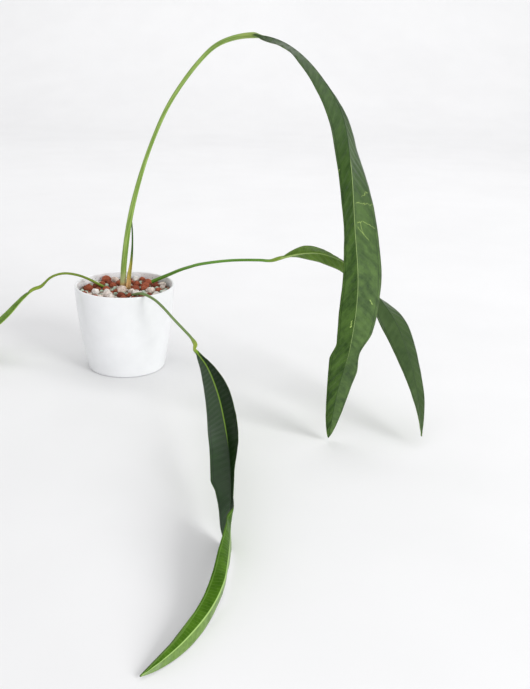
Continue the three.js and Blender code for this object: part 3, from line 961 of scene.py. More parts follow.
class Trees:
    """The geometry trees of the plant, each built once."""

    def __init__(self) -> None:
        """Builds every tree."""
        self.sweep = self._sweep()
        self.revolve = self._revolve()
        self.grains = self._grains()

    @staticmethod
    def _tree(name: str, takes: dict[str, float]) -> Graph:
        """Starts a tree that takes a carrier, its own sizes and a material."""
        takes = {"Geometry": Kind.GEOMETRY, **takes, "Material": Kind.MATERIAL}
        return Graph.group(name, TreeKind.GEOMETRY, takes, ["Geometry"])

    @staticmethod
    def position(graph: Graph) -> Field:
        """Each point's place."""
        return graph.call("GeometryNodeInputPosition", {})

    @staticmethod
    def named(graph: Graph, name: str, kind: Carried = Carried.VECTOR) -> Field:
        """A value that the points carry under a name."""
        return graph.call("GeometryNodeInputNamedAttribute", {"Name": name}, "Attribute", data_type=kind.value)

    @staticmethod
    def store(graph: Graph, geometry: Field, name: str, value: Field, kind: Carried = Carried.NUMBER) -> Field:
        """Keeps a value on the points under a name."""
        values = {"Geometry": geometry, "Name": name, "Value": value}
        return graph.call("GeometryNodeStoreNamedAttribute", values, "Geometry", data_type=kind.value)

    @staticmethod
    def sample(graph: Graph, rail: Field, value: Field, row: Field) -> Field:
        """Reads a vector at one point of a rail."""
        values = {"Geometry": rail, "Value": value, "Index": row}
        return graph.call("GeometryNodeSampleIndex", values, "Value", data_type=Carried.VECTOR.value, clamp=True)

    @staticmethod
    def moved(graph: Graph, geometry: Field, place: Field) -> Field:
        """Puts every point in its place."""
        return graph.call("GeometryNodeSetPosition", {"Geometry": geometry, "Position": place}, "Geometry")

    @staticmethod
    def closed(graph: Graph, geometry: Field) -> Field:
        """Joins the two long edges of a bent grid, and whatever meets in one point."""
        values = {"Geometry": geometry, "Distance": SEAM_GAP * MM}
        return graph.call("GeometryNodeMergeByDistance", values, "Geometry")

    @staticmethod
    def finish(graph: Graph, geometry: Field) -> None:
        """Ends a tree: smooth faces, plain meshes and the material.

        Args:
            graph: The tree's graph.
            geometry: The shape.
        """
        smooth = graph.call("GeometryNodeSetShadeSmooth", {"Geometry": geometry}, "Geometry")
        plain = graph.call("GeometryNodeRealizeInstances", {"Geometry": smooth}, "Geometry")
        values = {"Geometry": plain, "Material": graph.take("Material")}
        graph.give("Geometry", graph.call("GeometryNodeSetMaterial", values, "Geometry"))

    def _grid(self, graph: Graph, columns: Field, rows: Field) -> tuple[Field, Field, Field]:
        """A grid to be bent into shape.

        Args:
            graph: The tree's graph.
            columns: Points across.
            rows: Points along.

        Returns:
            The mesh, the column's place from 0 to 1 and the row's whole number.
        """
        values = {"Size X": 1.0, "Size Y": 1.0, "Vertices X": columns, "Vertices Y": rows}
        mesh = graph.call("GeometryNodeMeshGrid", values, "Mesh")
        x, y, _ = graph.parts(self.position(graph))
        return mesh, x + 0.5, graph.math("ROUND", (y + 0.5) * (rows - 1.0))

    def _sweep(self) -> Graph:
        """A closed leaf: a round section that opens into a folded blade along a rail.

        Returns:
            The tree's graph.
        """
        takes = {"Stations": 2, "Columns": 81, "Thickness": 1.0, "Rib Ridge": 0.25, "Rib Width": 1.2}
        takes |= {"Vein Relief": 0.15, "Vein Spacing": 6.0, "Vein Slant": 0.55, "Ripple": 0.5, "Seed": 0.0}
        graph = self._tree("swept_leaf", takes)
        rail = graph.take("Geometry")
        mesh, column, row = self._grid(graph, graph.take("Columns"), graph.take("Stations"))
        centre = self.sample(graph, rail, self.position(graph), row)
        side, up, reaches, folds, extras = (
            self.sample(graph, rail, self.named(graph, label), row)
            for label in ("rail_side", "rail_up", "rail_reach", "rail_fold", "rail_extra")
        )
        near_reach, far_reach, radius = graph.parts(reaches)
        near_fold, far_fold, flat = graph.parts(folds)
        along, under_rib, _ = graph.parts(extras)

        turn = column * 2.0
        share = 1.0 - abs(turn - 1.0) * 2.0
        face = graph.math("SIGN", 1.0 - turn)
        is_near = share > 0.0
        sign = is_near * 2.0 - 1.0
        amount = abs(share) ** COLUMN_CROWDING
        reach = graph.mix(is_near, far_reach, near_reach)
        fold = graph.mix(is_near, far_fold, near_fold) * graph.ease(amount, 0.0, 0.05)
        out = amount * reach
        across = out * sign

        rounding = graph.math("SQRT", graph.math("MAXIMUM", 1.0 - amount**EDGE_SQUARENESS, 0.0))
        half = graph.take("Thickness") * 0.5 * rounding
        rib_width = graph.take("Rib Width")
        crest, dip = self._bell(graph, out, rib_width), self._bell(graph, out, rib_width * 3.0)
        upper_ridge = (crest * 1.6 - dip) * graph.take("Rib Ridge")
        lower_ridge = self._bell(graph, out, under_rib * 0.9 + rib_width) * under_rib
        ridge = graph.mix(face > 0.0, lower_ridge, upper_ridge)
        phase = vein_phase(graph, along, across, graph.take("Vein Spacing"), graph.take("Vein Slant"))
        swell = graph.math("COSINE", phase * (2.0 * math.pi / VEINS_A_SWELL)) * -1.0
        inner = graph.ease(amount, 0.04, 0.2) * graph.ease(amount, 1.0, 0.75)
        wave = graph.noise(graph.combine(along, sign * 40.0, graph.take("Seed")), 0.035, 2.0) - 0.5
        ripple = wave * graph.take("Ripple") * amount * amount * graph.ease(reach, 3.0, 10.0) * 2.0
        depth = face * (half + ridge) + swell * inner * graph.take("Vein Relief") + ripple

        fold_cos, fold_sin = graph.math("COSINE", fold), graph.math("SINE", fold)
        strip_side = sign * (out * fold_cos - depth * fold_sin)
        strip_up = out * fold_sin + depth * fold_cos
        angle = (1.0 - turn) * math.pi
        to_side = graph.mix(flat, graph.math("COSINE", angle) * radius, strip_side) * MM
        to_up = graph.mix(flat, graph.math("SINE", angle) * radius, strip_up) * MM
        offset = graph.vector("ADD", graph.vector("SCALE", side, to_side), graph.vector("SCALE", up, to_up))
        kept = {"along": along, "across": across, "reach": reach, "turn": turn, "under": 0.5 - face * 0.5}
        for name, value in kept.items():
            mesh = self.store(graph, mesh, name, value)
        self.finish(graph, self.closed(graph, self.moved(graph, mesh, graph.vector("ADD", centre, offset))))
        return graph

    @staticmethod
    def _bell(graph: Graph, out: Field, width: Field) -> Field:
        """A rounded ridge of height 1 that falls away over a width."""
        return graph.math("EXPONENT", (out / width) ** 2.0 * -1.0)

    def _revolve(self) -> Graph:
        """A profile turned round the upright axis.

        Returns:
            The tree's graph.
        """
        takes = {"Stations": 2, "Sides": 161, "Unevenness": 0.0, "Unevenness Scale": 300.0, "Uneven Above": 0.0}
        graph = self._tree("turned_body", takes)
        sides = graph.take("Sides")
        mesh, column, row = self._grid(graph, sides, graph.take("Stations"))
        radius, _, height = graph.parts(self.sample(graph, graph.take("Geometry"), self.position(graph), row))
        angle = graph.math("ROUND", column * (sides - 1.0)) / (sides - 1.0) * (2 * math.pi)
        place = graph.combine(graph.math("COSINE", angle) * radius, graph.math("SINE", angle) * radius, height)
        lumps = graph.noise(place, graph.take("Unevenness Scale"), 3.0) - 0.5
        raised = lumps * graph.take("Unevenness") * (height > graph.take("Uneven Above"))
        place = graph.vector("ADD", place, graph.combine(0.0, 0.0, raised))
        self.finish(graph, self.closed(graph, self.moved(graph, mesh, place)))
        return graph

    def _grains(self) -> Graph:
        """Grains on points, each one with a shape of its own.

        Returns:
            The tree's graph.
        """
        takes = {"Subdivisions": 4, "Facets": 0.0, "Lumps": 0.1, "Grit": 0.02, "Seed": 0.0}
        graph = self._tree("loose_grains", takes)
        position = self.position(graph)
        points = graph.call("GeometryNodeMeshToPoints", {"Mesh": graph.take("Geometry")})
        points = self.store(graph, points, "grain_number", graph.call("GeometryNodeInputIndex", {}))
        points = self.store(graph, points, "grain_centre", position, Carried.VECTOR)
        values = {"Radius": 1.0, "Subdivisions": graph.take("Subdivisions")}
        ball = graph.call("GeometryNodeMeshIcoSphere", values, "Mesh")
        ball = self.store(graph, ball, "ball", position, Carried.VECTOR)
        turned = graph.call("FunctionNodeEulerToRotation", {"Euler": self.named(graph, "grain_turn")})
        size = self.named(graph, "grain_size")
        values = {"Points": points, "Instance": ball, "Rotation": turned, "Scale": size}
        placed = graph.call("GeometryNodeInstanceOnPoints", values)
        plain = graph.call("GeometryNodeRealizeInstances", {"Geometry": placed})

        direction = self.named(graph, "ball")
        shift = (self.named(graph, "grain_number", Carried.NUMBER) + graph.take("Seed")) * 7.31
        away = graph.combine(shift, shift * 0.7, shift * 1.3)
        where = graph.vector("ADD", direction, away)
        cell = graph.call("ShaderNodeTexVoronoi", {"Vector": where, "Scale": 0.95}, "Position")
        outward = graph.vector("NORMALIZE", graph.vector("SUBTRACT", cell, away))
        lean = graph.math("MAXIMUM", graph.vector("DOT_PRODUCT", direction, outward), 0.72)
        faceted = graph.math("MINIMUM", 0.86 / lean, 1.12)
        lumps = (graph.noise(where, 1.1, 1.0) - 0.5) * 2.0 * graph.take("Lumps")
        grit = (graph.noise(where, 5.0, 2.0) - 0.5) * 2.0 * graph.take("Grit")
        factor = graph.mix(graph.take("Facets"), 1.0, faceted) + lumps + grit

        centre = self.named(graph, "grain_centre")
        arm = graph.vector("SUBTRACT", position, centre)
        shaped = self.moved(graph, plain, graph.vector("ADD", centre, graph.vector("SCALE", arm, factor)))
        _, _, drop = graph.parts(arm)
        level = drop / graph.vector("LENGTH", size) * math.sqrt(3.0)
        self.finish(graph, self.store(graph, shaped, "grain_height", level))
        return graph


# Meshes


def rail_object(name: str, points: np.ndarray, vectors: dict[str, np.ndarray]) -> bpy.types.Object:
    """A mesh of loose points that a geometry tree reads.

    Args:
        name: The object's name.
        points: One row for each point, in metres.
        vectors: Named vectors for each point.

    Returns:
        The object.
    """
    mesh = bpy.data.meshes.new(name)
    mesh.from_pydata([tuple(p) for p in points.tolist()], [], [])
    for label, values in vectors.items():
        attribute = mesh.attributes.new(label, Carried.VECTOR.value, "POINT")
        attribute.data.foreach_set("vector", np.asarray(values, np.float32).ravel())
    return shown_object(name, mesh)


def shown_object(name: str, data: bpy.types.ID) -> bpy.types.Object:
    """An object in the scene with the given mesh, light or camera.

    Args:
        name: The object's name.
        data: The mesh, light or camera.

    Returns:
        The object.
    """
    made = bpy.data.objects.new(name, data)
    bpy.context.scene.collection.objects.link(made)
    return made


def grow(carrier: bpy.types.Object, tree: Graph, inputs: dict[str, object]) -> bpy.types.Object:
    """Runs a geometry tree on an object and keeps the plain mesh that comes out.

    Args:
        carrier: The object whose mesh the tree reads.
        tree: The tree's graph.
        inputs: Each named input's value.

    Returns:
        The same object, with its new mesh and without its modifier.
    """
    modifier = carrier.modifiers.new("growth", "NODES")
    modifier.node_group = tree.tree
    identifiers = {item.name: item.identifier for item in tree.tree.interface.items_tree if item.in_out == "INPUT"}
    for label, value in inputs.items():
        modifier[identifiers[label]] = value
    return keep_evaluated(carrier)


def keep_evaluated(piece: bpy.types.Object) -> bpy.types.Object:
    """Swaps a piece's mesh for what its modifiers make of it, and drops the modifiers.

    Args:
        piece: The piece.

    Returns:
        The same piece.
    """
    graph = bpy.context.evaluated_depsgraph_get()
    evaluated = piece.evaluated_get(graph)
    mesh = bpy.data.meshes.new_from_object(evaluated, preserve_all_data_layers=True, depsgraph=graph)
    piece.modifiers.clear()
    old = piece.data
    mesh.name = piece.name
    piece.data = mesh
    bpy.data.meshes.remove(old)
    return piece


def keyed(keys: Keys, places: np.ndarray) -> np.ndarray:
    """Smooth values through keys, without overshoot.

    Args:
        keys: Pairs of place and value.
        places: Where the values are wanted.

    Returns:
        The values.
    """
    x, y = np.array(keys, float).T
    rise = np.diff(y) / np.diff(x)
    slope = np.zeros(len(x))
    slope[0], slope[-1] = rise[0], rise[-1]
    for i in range(1, len(x) - 1):
        before, after = rise[i - 1], rise[i]
        slope[i] = 0.0 if before * after <= 0 else 2 * before * after / (before + after)
    held = np.clip(places, x[0], x[-1])
    i = np.clip(np.searchsorted(x, held, side="right") - 1, 0, len(x) - 2)
    span = x[i + 1] - x[i]
    t = (held - x[i]) / span
    start, end = (2 * t**3 - 3 * t**2 + 1) * y[i], (3 * t**2 - 2 * t**3) * y[i + 1]
    return start + (t**3 - 2 * t**2 + t) * span * slope[i] + end + (t**3 - t**2) * span * slope[i + 1]


def curve_points(points: Sequence[Point], start: float, end: float, steps: int) -> np.ndarray:
    """Points at equal steps along part of a smooth curve through given points.

    Args:
        points: The places that the curve passes.
        start: Where the part starts, from 0 to 1.
        end: Where the part ends, from 0 to 1.
        steps: How many steps are wanted.

    Returns:
        One row for each point.
    """
    given = [np.array(p, float) for p in points]
    padded = [2 * given[0] - given[1], *given, 2 * given[-1] - given[-2]]
    spans = len(given) - 1
    fine = []
    for whole in np.linspace(start, end, 12 * steps + 1) * spans:
        i = min(int(whole), spans - 1)
        t = whole - i
        p0, p1, p2, p3 = padded[i : i + 4]
        d0, d1, d2 = (max(float(np.linalg.norm(b - a)), 1e-4) ** 0.5 for a, b in ((p0, p1), (p1, p2), (p2, p3)))
        leave = ((p1 - p0) / d0 - (p2 - p0) / (d0 + d1) + (p2 - p1) / d1) * d1
        reach = ((p2 - p1) / d1 - (p3 - p1) / (d1 + d2) + (p3 - p2) / d2) * d1
        square, cube = t * t, t**3
        fine.append(
            p1 + leave * t + (3 * (p2 - p1) - 2 * leave - reach) * square + (2 * (p1 - p2) + leave + reach) * cube
        )
    places = np.array(fine)
    run = np.concatenate([[0.0], np.cumsum(np.linalg.norm(np.diff(places, axis=0), axis=1))])
    wanted = np.linspace(0.0, run[-1], steps + 1)
    return np.stack([np.interp(wanted, run, places[:, k]) for k in range(3)], axis=1)


def path_frames(points: np.ndarray, across: Point) -> tuple[np.ndarray, np.ndarray]:
    """The side and up directions at each point of a path.

    Args:
        points: The path.
        across: The rough direction of the near half.

    Returns:
        The side vectors and the up vectors.
    """
    forward = np.gradient(points, axis=0)
    forward /= np.linalg.norm(forward, axis=1)[:, None]
    rough = np.array(across, float)
    side = rough - (forward @ rough)[:, None] * forward
    side /= np.linalg.norm(side, axis=1)[:, None]
    return side, np.cross(side, forward)


def rolled(side: np.ndarray, up: np.ndarray, degrees: np.ndarray) -> tuple[np.ndarray, np.ndarray]:
    """Turns side and up about the path by an angle at each point."""
    c, s = np.cos(np.radians(degrees))[:, None], np.sin(np.radians(degrees))[:, None]
    return side * c + up * s, up * c - side * s


# Sub-assemblies


class SubAssembly(ABC):
    """A part of the plant that builds and dresses its own pieces."""

    @abstractmethod
    def build(self, trees: Trees, effects: Effects) -> list[bpy.types.Object]:
        """Builds and dresses the pieces.

        Args:
            trees: The geometry trees.
            effects: The shared effects.

        Returns:
            The pieces.
        """


def settle(piece: bpy.types.Object, slot: str, *nodes: str) -> bpy.types.Object:
    """Fixes a finished piece to the plant's one body.

    Args:
        piece: The piece.
        slot: A material slot's name, which is not used.
        *nodes: The solids that it stands for.

    Returns:
        The piece.
    """
    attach(piece, "root")
    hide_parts(*nodes)
    return piece


def turned_piece(name: str, profile: Keys, trees: Trees, **inputs: object) -> bpy.types.Object:
    """A piece that is turned round the upright axis.

    Args:
        name: The piece's name.
        profile: Radius and height of each point of its section, in millimetres.
        trees: The geometry trees.
        **inputs: The tree's inputs, with underscores for the spaces in their names.

    Returns:
        The piece.
    """
    points = np.array([(radius, 0.0, height) for radius, height in profile]) * MM
    named = {label.replace("_", " "): value for label, value in inputs.items()}
    return grow(rail_object(name, points, {}), trees.revolve, {"Stations": len(profile), **named})


@dataclass
class Pot(SubAssembly):
    """The glazed pot: a slightly swollen taper with a thin rounded rim and a rounded foot."""

    height: float = 105.0
    rim_radius: float = 60.0
    rim_drop: float = 0.1
    foot_radius: float = 46.5
    foot_rounding: float = 3.0
    wall_curve: float = 1.65
    wall: float = 2.8
    floor: float = 5.0
    inner_rounding: float = 4.0
    sides: int = 160
    corner_steps: int = 8
    rim_steps: int = 14
    wall_levels: tuple[float, float, int] = (0.12, 0.95, 16)

    def outer_radius(self, z: float) -> float:
        """The outside radius at a height."""
        return self.rim_radius - (self.rim_radius - self.foot_radius) * (1 - z / self.height) ** self.wall_curve

    def outer_radius_field(self, z: Field) -> Field:
        """The outside radius at a height, as a node formula."""
        depth = z.graph.math("MAXIMUM", 1.0 - z / self.height, 0.0)
        return self.rim_radius - (depth**self.wall_curve) * (self.rim_radius - self.foot_radius)

    def inner_radius(self, z: float) -> float:
        """The inside radius at a height."""
        return self.outer_radius(z) - self.wall

    @staticmethod
    def _arc(r: float, z: float, radius: float, start: float, end: float, steps: int) -> list[tuple[float, float]]:
        """Points of an arc between two angles in degrees."""
        angles = np.radians(np.linspace(start, end, steps + 1))
        return [(r + radius * math.cos(a), z + radius * math.sin(a)) for a in angles]

    def profile(self) -> list[tuple[float, float]]:
        """The section from the foot's centre over the rim to the inner floor's centre.

        Returns:
            Radius and height of each point.
        """
        lip = self.wall / 2
        foot = self.outer_radius(self.foot_rounding) - self.foot_rounding
        inner = self.inner_radius(self.floor + self.inner_rounding) - self.inner_rounding
        top = self.height - lip - self.rim_drop
        rim = self.outer_radius(top) - lip
        walls = np.linspace(*self.wall_levels)
        return [
            (0.0, 0.0),
            (foot * 0.5, 0.0),
            *self._arc(foot, self.foot_rounding, self.foot_rounding, -90, 0, self.corner_steps),
            *[(self.outer_radius(z), z) for z in walls * self.height],
            *self._arc(rim, top, lip, 0, 180, self.rim_steps),
            *[(self.inner_radius(z), z) for z in walls[::-1] * self.height],
            *self._arc(inner, self.floor + self.inner_rounding, self.inner_rounding, 0, -90, self.corner_steps),
            (inner * 0.5, self.floor),
            (0.0, self.floor),
        ]

    def build(self, trees: Trees, effects: Effects) -> list[bpy.types.Object]:
        """Builds and dresses the pot.

        Args:
            trees: The geometry trees.
            effects: The shared effects.

        Returns:
            The pieces.
        """
        material = Glaze().material(effects)
        body = turned_piece("glazed_pot", self.profile(), trees, Sides=self.sides + 1, Material=material)
        return [settle(body, "glaze", "pot")]


POT = Pot()


class GrainKind(Enum):
    """The kinds of grain in the mix."""

    CLAY = "clay"
    PUMICE = "pumice"
    CHIP = "chip"
    FINES = "fines"


@dataclass(frozen=True)
class Grain:
    """One grain: its kind, its place and its radius."""

    kind: GrainKind
    x: float
    y: float
    radius: float
    z: float

    def distance(self, x: float, y: float) -> float:
        """How far its centre lies from a place, seen from above."""
        return math.hypot(x - self.x, y - self.y)


def seeded_draws(seed: int) -> Iterator[float]:
    """A repeatable run of numbers between 0 and 1.

    Args:
        seed: The first state.

    Returns:
        The numbers.
    """
    state = seed
    while True:
        state = state * 16807 % 2147483647
        yield state / 2147483647


@dataclass(frozen=True)
class Strewing:
    """A seeded strewing of grains: how many are tried, how often each kind comes and how large it is.

    Each size is a least radius and a range above it in millimetres, and each rise lifts a grain's centre by a
    share of its radius. The reach is a grain's share that stays inside the wall.
    """

    seed: int
    tries: int
    clay_below: float
    pumice_below: float
    rest: GrainKind
    coarse: tuple[float, float]
    fine: tuple[float, float]
    coarse_rise: float
    fine_rise: float
    reach: float
    lift: float = 0.0

    def draw(self, disc: float, level: float) -> Iterator[tuple[Grain, float]]:
        """Draws grains evenly over a disc.

        Args:
            disc: The disc's radius.
            level: The height of the bed's surface.

        Returns:
            Each grain, with how far from the middle its outer edge reaches.
        """
        draws = seeded_draws(self.seed)
        for _ in range(self.tries):
            out, turn = disc * math.sqrt(next(draws)), 2 * math.pi * next(draws)
            pick, size = next(draws), next(draws)
            kind = GrainKind.CLAY if pick < self.clay_below else GrainKind.PUMICE
            kind = kind if pick < self.pumice_below else self.rest
            is_fine = kind is self.rest
            least, spread = self.fine if is_fine else self.coarse
            radius = least + spread * size
            rise = self.fine_rise if is_fine else self.coarse_rise
            z = level + rise * radius + self.lift
            yield Grain(kind, out * math.cos(turn), out * math.sin(turn), radius, z), out + self.reach * radius


@dataclass
class GrainBed(SubAssembly):
    """The mineral mix: a dark bed with clay, pumice and mint chips on top."""

    height: float = 95.0
    gap: float = 0.3
    rise: float = 0.35
    overlap: float = 0.98
    shape_seed: int = 4127
    seed_step: float = 50.0
    stem_x: float = -1.0
    stem_y: float = 13.0
    stem_radius: float = 9.0
    stem_margin: float = 0.7
    stem_overlap: float = 3.0
    pot_sides: int = 48
    least_size: Point = (0.94, 0.94, 0.82)
    most_size: Point = (1.06, 1.06, 0.97)
    tilt: float = 0.5
    bed_sides: int = 145
    bed_levels: int = 10
    bed_rings: tuple[float, float, int] = (0.98, 0.0, 26)
    bed_lumps: float = 2.6
    bed_lump_scale: float = 420.0
    top: Strewing = Strewing(
        seed=4127, tries=2600, clay_below=0.45, pumice_below=0.82, rest=GrainKind.CHIP, coarse=(3.6, 2.6),
        fine=(2.2, 0.8), coarse_rise=0.35, fine_rise=0.35, reach=1.17,
    )  # fmt: skip
    lower: Strewing = Strewing(
        seed=4204, tries=5200, clay_below=0.36, pumice_below=0.7, rest=GrainKind.FINES, coarse=(2.3, 1.9),
        fine=(0.9, 1.1), coarse_rise=-0.45, fine_rise=0.1, reach=1.1, lift=0.4,
    )  # fmt: skip
    placed: tuple[tuple[str, float, float, float], ...] = (
        ("clay", -29, 38.6, 6.6), ("clay", -44.5, 1, 5.8), ("pumice", -33, -14, 5.4), ("pumice", -17, -24.5, 6.2),
        ("clay", -0.5, -24.5, 5.4), ("pumice", -3.5, -2.5, 6.2), ("clay", 12, 4, 5.8), ("clay", 10.5, 24.5, 5.4),
        ("clay", 22, 19, 5.6), ("clay", 34, 20, 5.2), ("clay", 22.5, 8, 4.6), ("pumice", 31, -2, 5.4),
        ("clay", 40.5, 3, 4.2), ("pumice", 44, 16, 3.8), ("pumice", 6.5, 49.5, 5), ("clay", 14.5, 49, 4.2),
        ("pumice", -18.5, 39, 5.6), ("clay", 2.5, 36, 3.6), ("clay", -23, 1, 5), ("clay", -32.5, -1, 4),
        ("clay", -10.5, -4, 3.2), ("clay", 8, -22, 3.5), ("clay", -37, 12.5, 5), ("pumice", -40, 26, 4.2),
        ("chip", -24.5, -17.5, 2.6), ("chip", -14, 5, 2.6), ("chip", -9, -15, 2.5), ("chip", 4, -14.5, 2.6),
        ("chip", 17.5, 12, 2.4), ("chip", 29, 11, 2.6), ("chip", 14, 31, 2.6), ("chip", -9.5, -25.5, 2.3),
    )  # fmt: skip

    def wall(self) -> float:
        """The radius that the top grains stay within."""
        return POT.inner_radius(self.height) * math.cos(math.pi / self.pot_sides) - self.gap

    def layout(self) -> list[Grain]:
        """The top grains: the placed ones, then a seeded fill of the free ground.

        Returns:
            The grains.
        """
        grains = [Grain(GrainKind(kind), x, y, r, self.height + self.rise * r) for kind, x, y, r in self.placed]
        wall = self.wall()
        for grain, edge in self.top.draw(wall, self.height):
            x, y, radius = grain.x, grain.y, grain.radius
            if edge >= wall or self._from_stem(x, y) <= self.stem_radius + self.stem_margin * radius:
                continue
            if all(g.distance(x, y) > self.overlap * (radius + g.radius) for g in grains):
                grains.append(grain)
        return grains

    def _from_stem(self, x: float, y: float) -> float:
        """The distance of a place from the stem's axis."""
        return math.hypot(x - self.stem_x, y - self.stem_y)

    def fill(self, top: list[Grain]) -> list[Grain]:
        """Lower and smaller grains in the gaps between the top ones.

        Args:
            top: The top grains.

        Returns:
            The extra grains.
        """
        grains: list[Grain] = []
        wall = self.wall()
        for grain, edge in self.lower.draw(wall - 1.0, self.height):
            x, y, radius = grain.x, grain.y, grain.radius
            if edge >= wall or self._from_stem(x, y) <= self.stem_radius - self.stem_overlap:
                continue
            clear_of_top = all(g.distance(x, y) > 0.62 * g.radius + 0.45 * radius for g in top)
            clear_of_rest = all(g.distance(x, y) > 0.7 * (radius + g.radius) for g in grains)
            if clear_of_top and clear_of_rest:
                grains.append(grain)
        return grains

    def _points(self, name: str, grains: list[Grain], seed: int) -> bpy.types.Object:
        """The carrier of one kind's grains, with each grain's size and turn.

        Args:
            name: The piece's name.
            grains: The grains.
            seed: The seed of their sizes and turns.

        Returns:
            The carrier.
        """
        draw = np.random.default_rng(seed)
        count = len(grains)
        centres = np.array([(g.x, g.y, g.z) for g in grains]) * MM
        radii = np.array([g.radius for g in grains])[:, None] * MM
        squash = draw.uniform(self.least_size, self.most_size, (count, 3))
        turns = draw.uniform((-self.tilt, -self.tilt, 0.0), (self.tilt, self.tilt, 2 * math.pi), (count, 3))
        return rail_object(name, centres, {"grain_size": radii * squash, "grain_turn": turns})

    def build(self, trees: Trees, effects: Effects) -> list[bpy.types.Object]:
        """Builds and dresses the mix.

        Args:
            trees: The geometry trees.
            effects: The shared effects.

        Returns:
            The pieces.
        """
        top = self.layout()
        grains = top + self.fill(top)
        pieces = [self._bed(trees, effects)]
        for number, (kind, look) in enumerate(GRAIN_LOOKS.items()):
            chosen = [g for g in grains if g.kind is kind]
            carrier = self._points(look.piece, chosen, self.shape_seed + number)
            inputs = {
                "Subdivisions": look.subdivisions,
                "Facets": look.facets,
                "Lumps": look.lumps,
                "Grit": look.grit,
                "Seed": number * self.seed_step,
                "Material": look.finish.material(effects),
            }
            pieces.append(settle(grow(carrier, trees.grains, inputs), "mineral_mix", "substrate"))
            LOG.info("%s: %d grains", look.piece, len(chosen))
        return pieces

    def _bed(self, trees: Trees, effects: Effects) -> bpy.types.Object:
        """The body of the mix under its grains.

        Args:
            trees: The geometry trees.
            effects: The shared effects.

        Returns:
            The piece.
        """
        low = POT.floor + self.gap
        rounding = POT.inner_rounding
        foot = POT.inner_radius(POT.floor + rounding) - rounding
        wall = self.wall()
        levels = np.linspace(low + rounding, self.height - 2, self.bed_levels)
        profile = [
            (0.0, low),
            (foot, low),
            *[(POT.inner_radius(z) - self.gap - 0.1, z) for z in levels],
            *[(wall * share, self.height - 0.4) for share in np.linspace(*self.bed_rings)],
        ]
        body = turned_piece(
            "mix_bed",
            profile,
            trees,
            Sides=self.bed_sides,
            Unevenness=self.bed_lumps * MM,
            Unevenness_Scale=self.bed_lump_scale,
            Uneven_Above=(self.height - 1) * MM,
            Material=BedFinish().material(effects),
        )
        return settle(body, "mineral_mix", "substrate")


@dataclass(frozen=True)
class GrainLook:
    """How one kind of grain is shaped and finished."""

    piece: str
    finish: GrainFinish
    subdivisions: int
    facets: float
    lumps: float
    grit: float


GRAIN_LOOKS = {
    GrainKind.CLAY: GrainLook(
        "clay_grains",
        GrainFinish(
            "fired_clay", (paint(150, 76, 52), paint(176, 94, 66), paint(126, 62, 44)), paint(70, 34, 24),
            pore_scale=0.9, pore_share=0.5, roughness=0.8, relief=0.3,
        ),
        subdivisions=4, facets=0.25, lumps=0.1, grit=0.03,
    ),
    GrainKind.PUMICE: GrainLook(
        "pumice_grains",
        GrainFinish(
            "pale_pumice", (paint(244, 230, 220), paint(250, 245, 240), paint(236, 212, 198)), paint(150, 128, 106),
            pore_scale=1.1, pore_share=0.6, roughness=0.9, relief=0.4,
        ),
        subdivisions=4, facets=0.75, lumps=0.1, grit=0.05,
    ),
    GrainKind.CHIP: GrainLook(
        "mint_chips",
        GrainFinish(
            "mint_mineral", (paint(186, 206, 184), paint(206, 220, 204), paint(168, 192, 170)), paint(120, 138, 118),
            pore_scale=0.8, pore_share=0.3, roughness=0.75, relief=0.25,
        ),
        subdivisions=3, facets=1.0, lumps=0.12, grit=0.03,
    ),
    GrainKind.FINES: GrainLook(
        "fine_crumbs",
        GrainFinish(
            "crumb_mix", (paint(120, 76, 56), paint(176, 156, 134), paint(92, 66, 50)), paint(60, 40, 30),
            pore_scale=0.9, pore_share=0.4, roughness=0.9, relief=0.2,
        ),
        subdivisions=2, facets=0.8, lumps=0.15, grit=0.03,
    ),
}  # fmt: skip


@dataclass
class Stem(SubAssembly):
    """The short buried stem with its roots, softened from its solid."""

    node: str = "stem"
    weld_gap: float = 0.02

    def build(self, trees: Trees, effects: Effects) -> list[bpy.types.Object]:
        """Builds and dresses the stem, which needs no tree.

        Args:
            trees: The geometry trees.
            effects: The shared effects.

        Returns:
            The pieces.
        """
        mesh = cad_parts[self.node].data.copy()
        mesh.materials.clear()
        for attribute in [a.name for a in mesh.attributes if a.name.startswith("custom")]:
            mesh.attributes.remove(mesh.attributes[attribute])
        piece = shown_object("stem_and_roots", mesh)
        piece.modifiers.new("weld", "WELD").merge_threshold = self.weld_gap * MM
        soften = piece.modifiers.new("soften", "SUBSURF")
        soften.levels = soften.render_levels = 1
        smooth = keep_evaluated(piece).data
        smooth.shade_smooth()
        smooth.materials.append(Bark().material(effects))
        return [settle(piece, "stem_bark", self.node)]


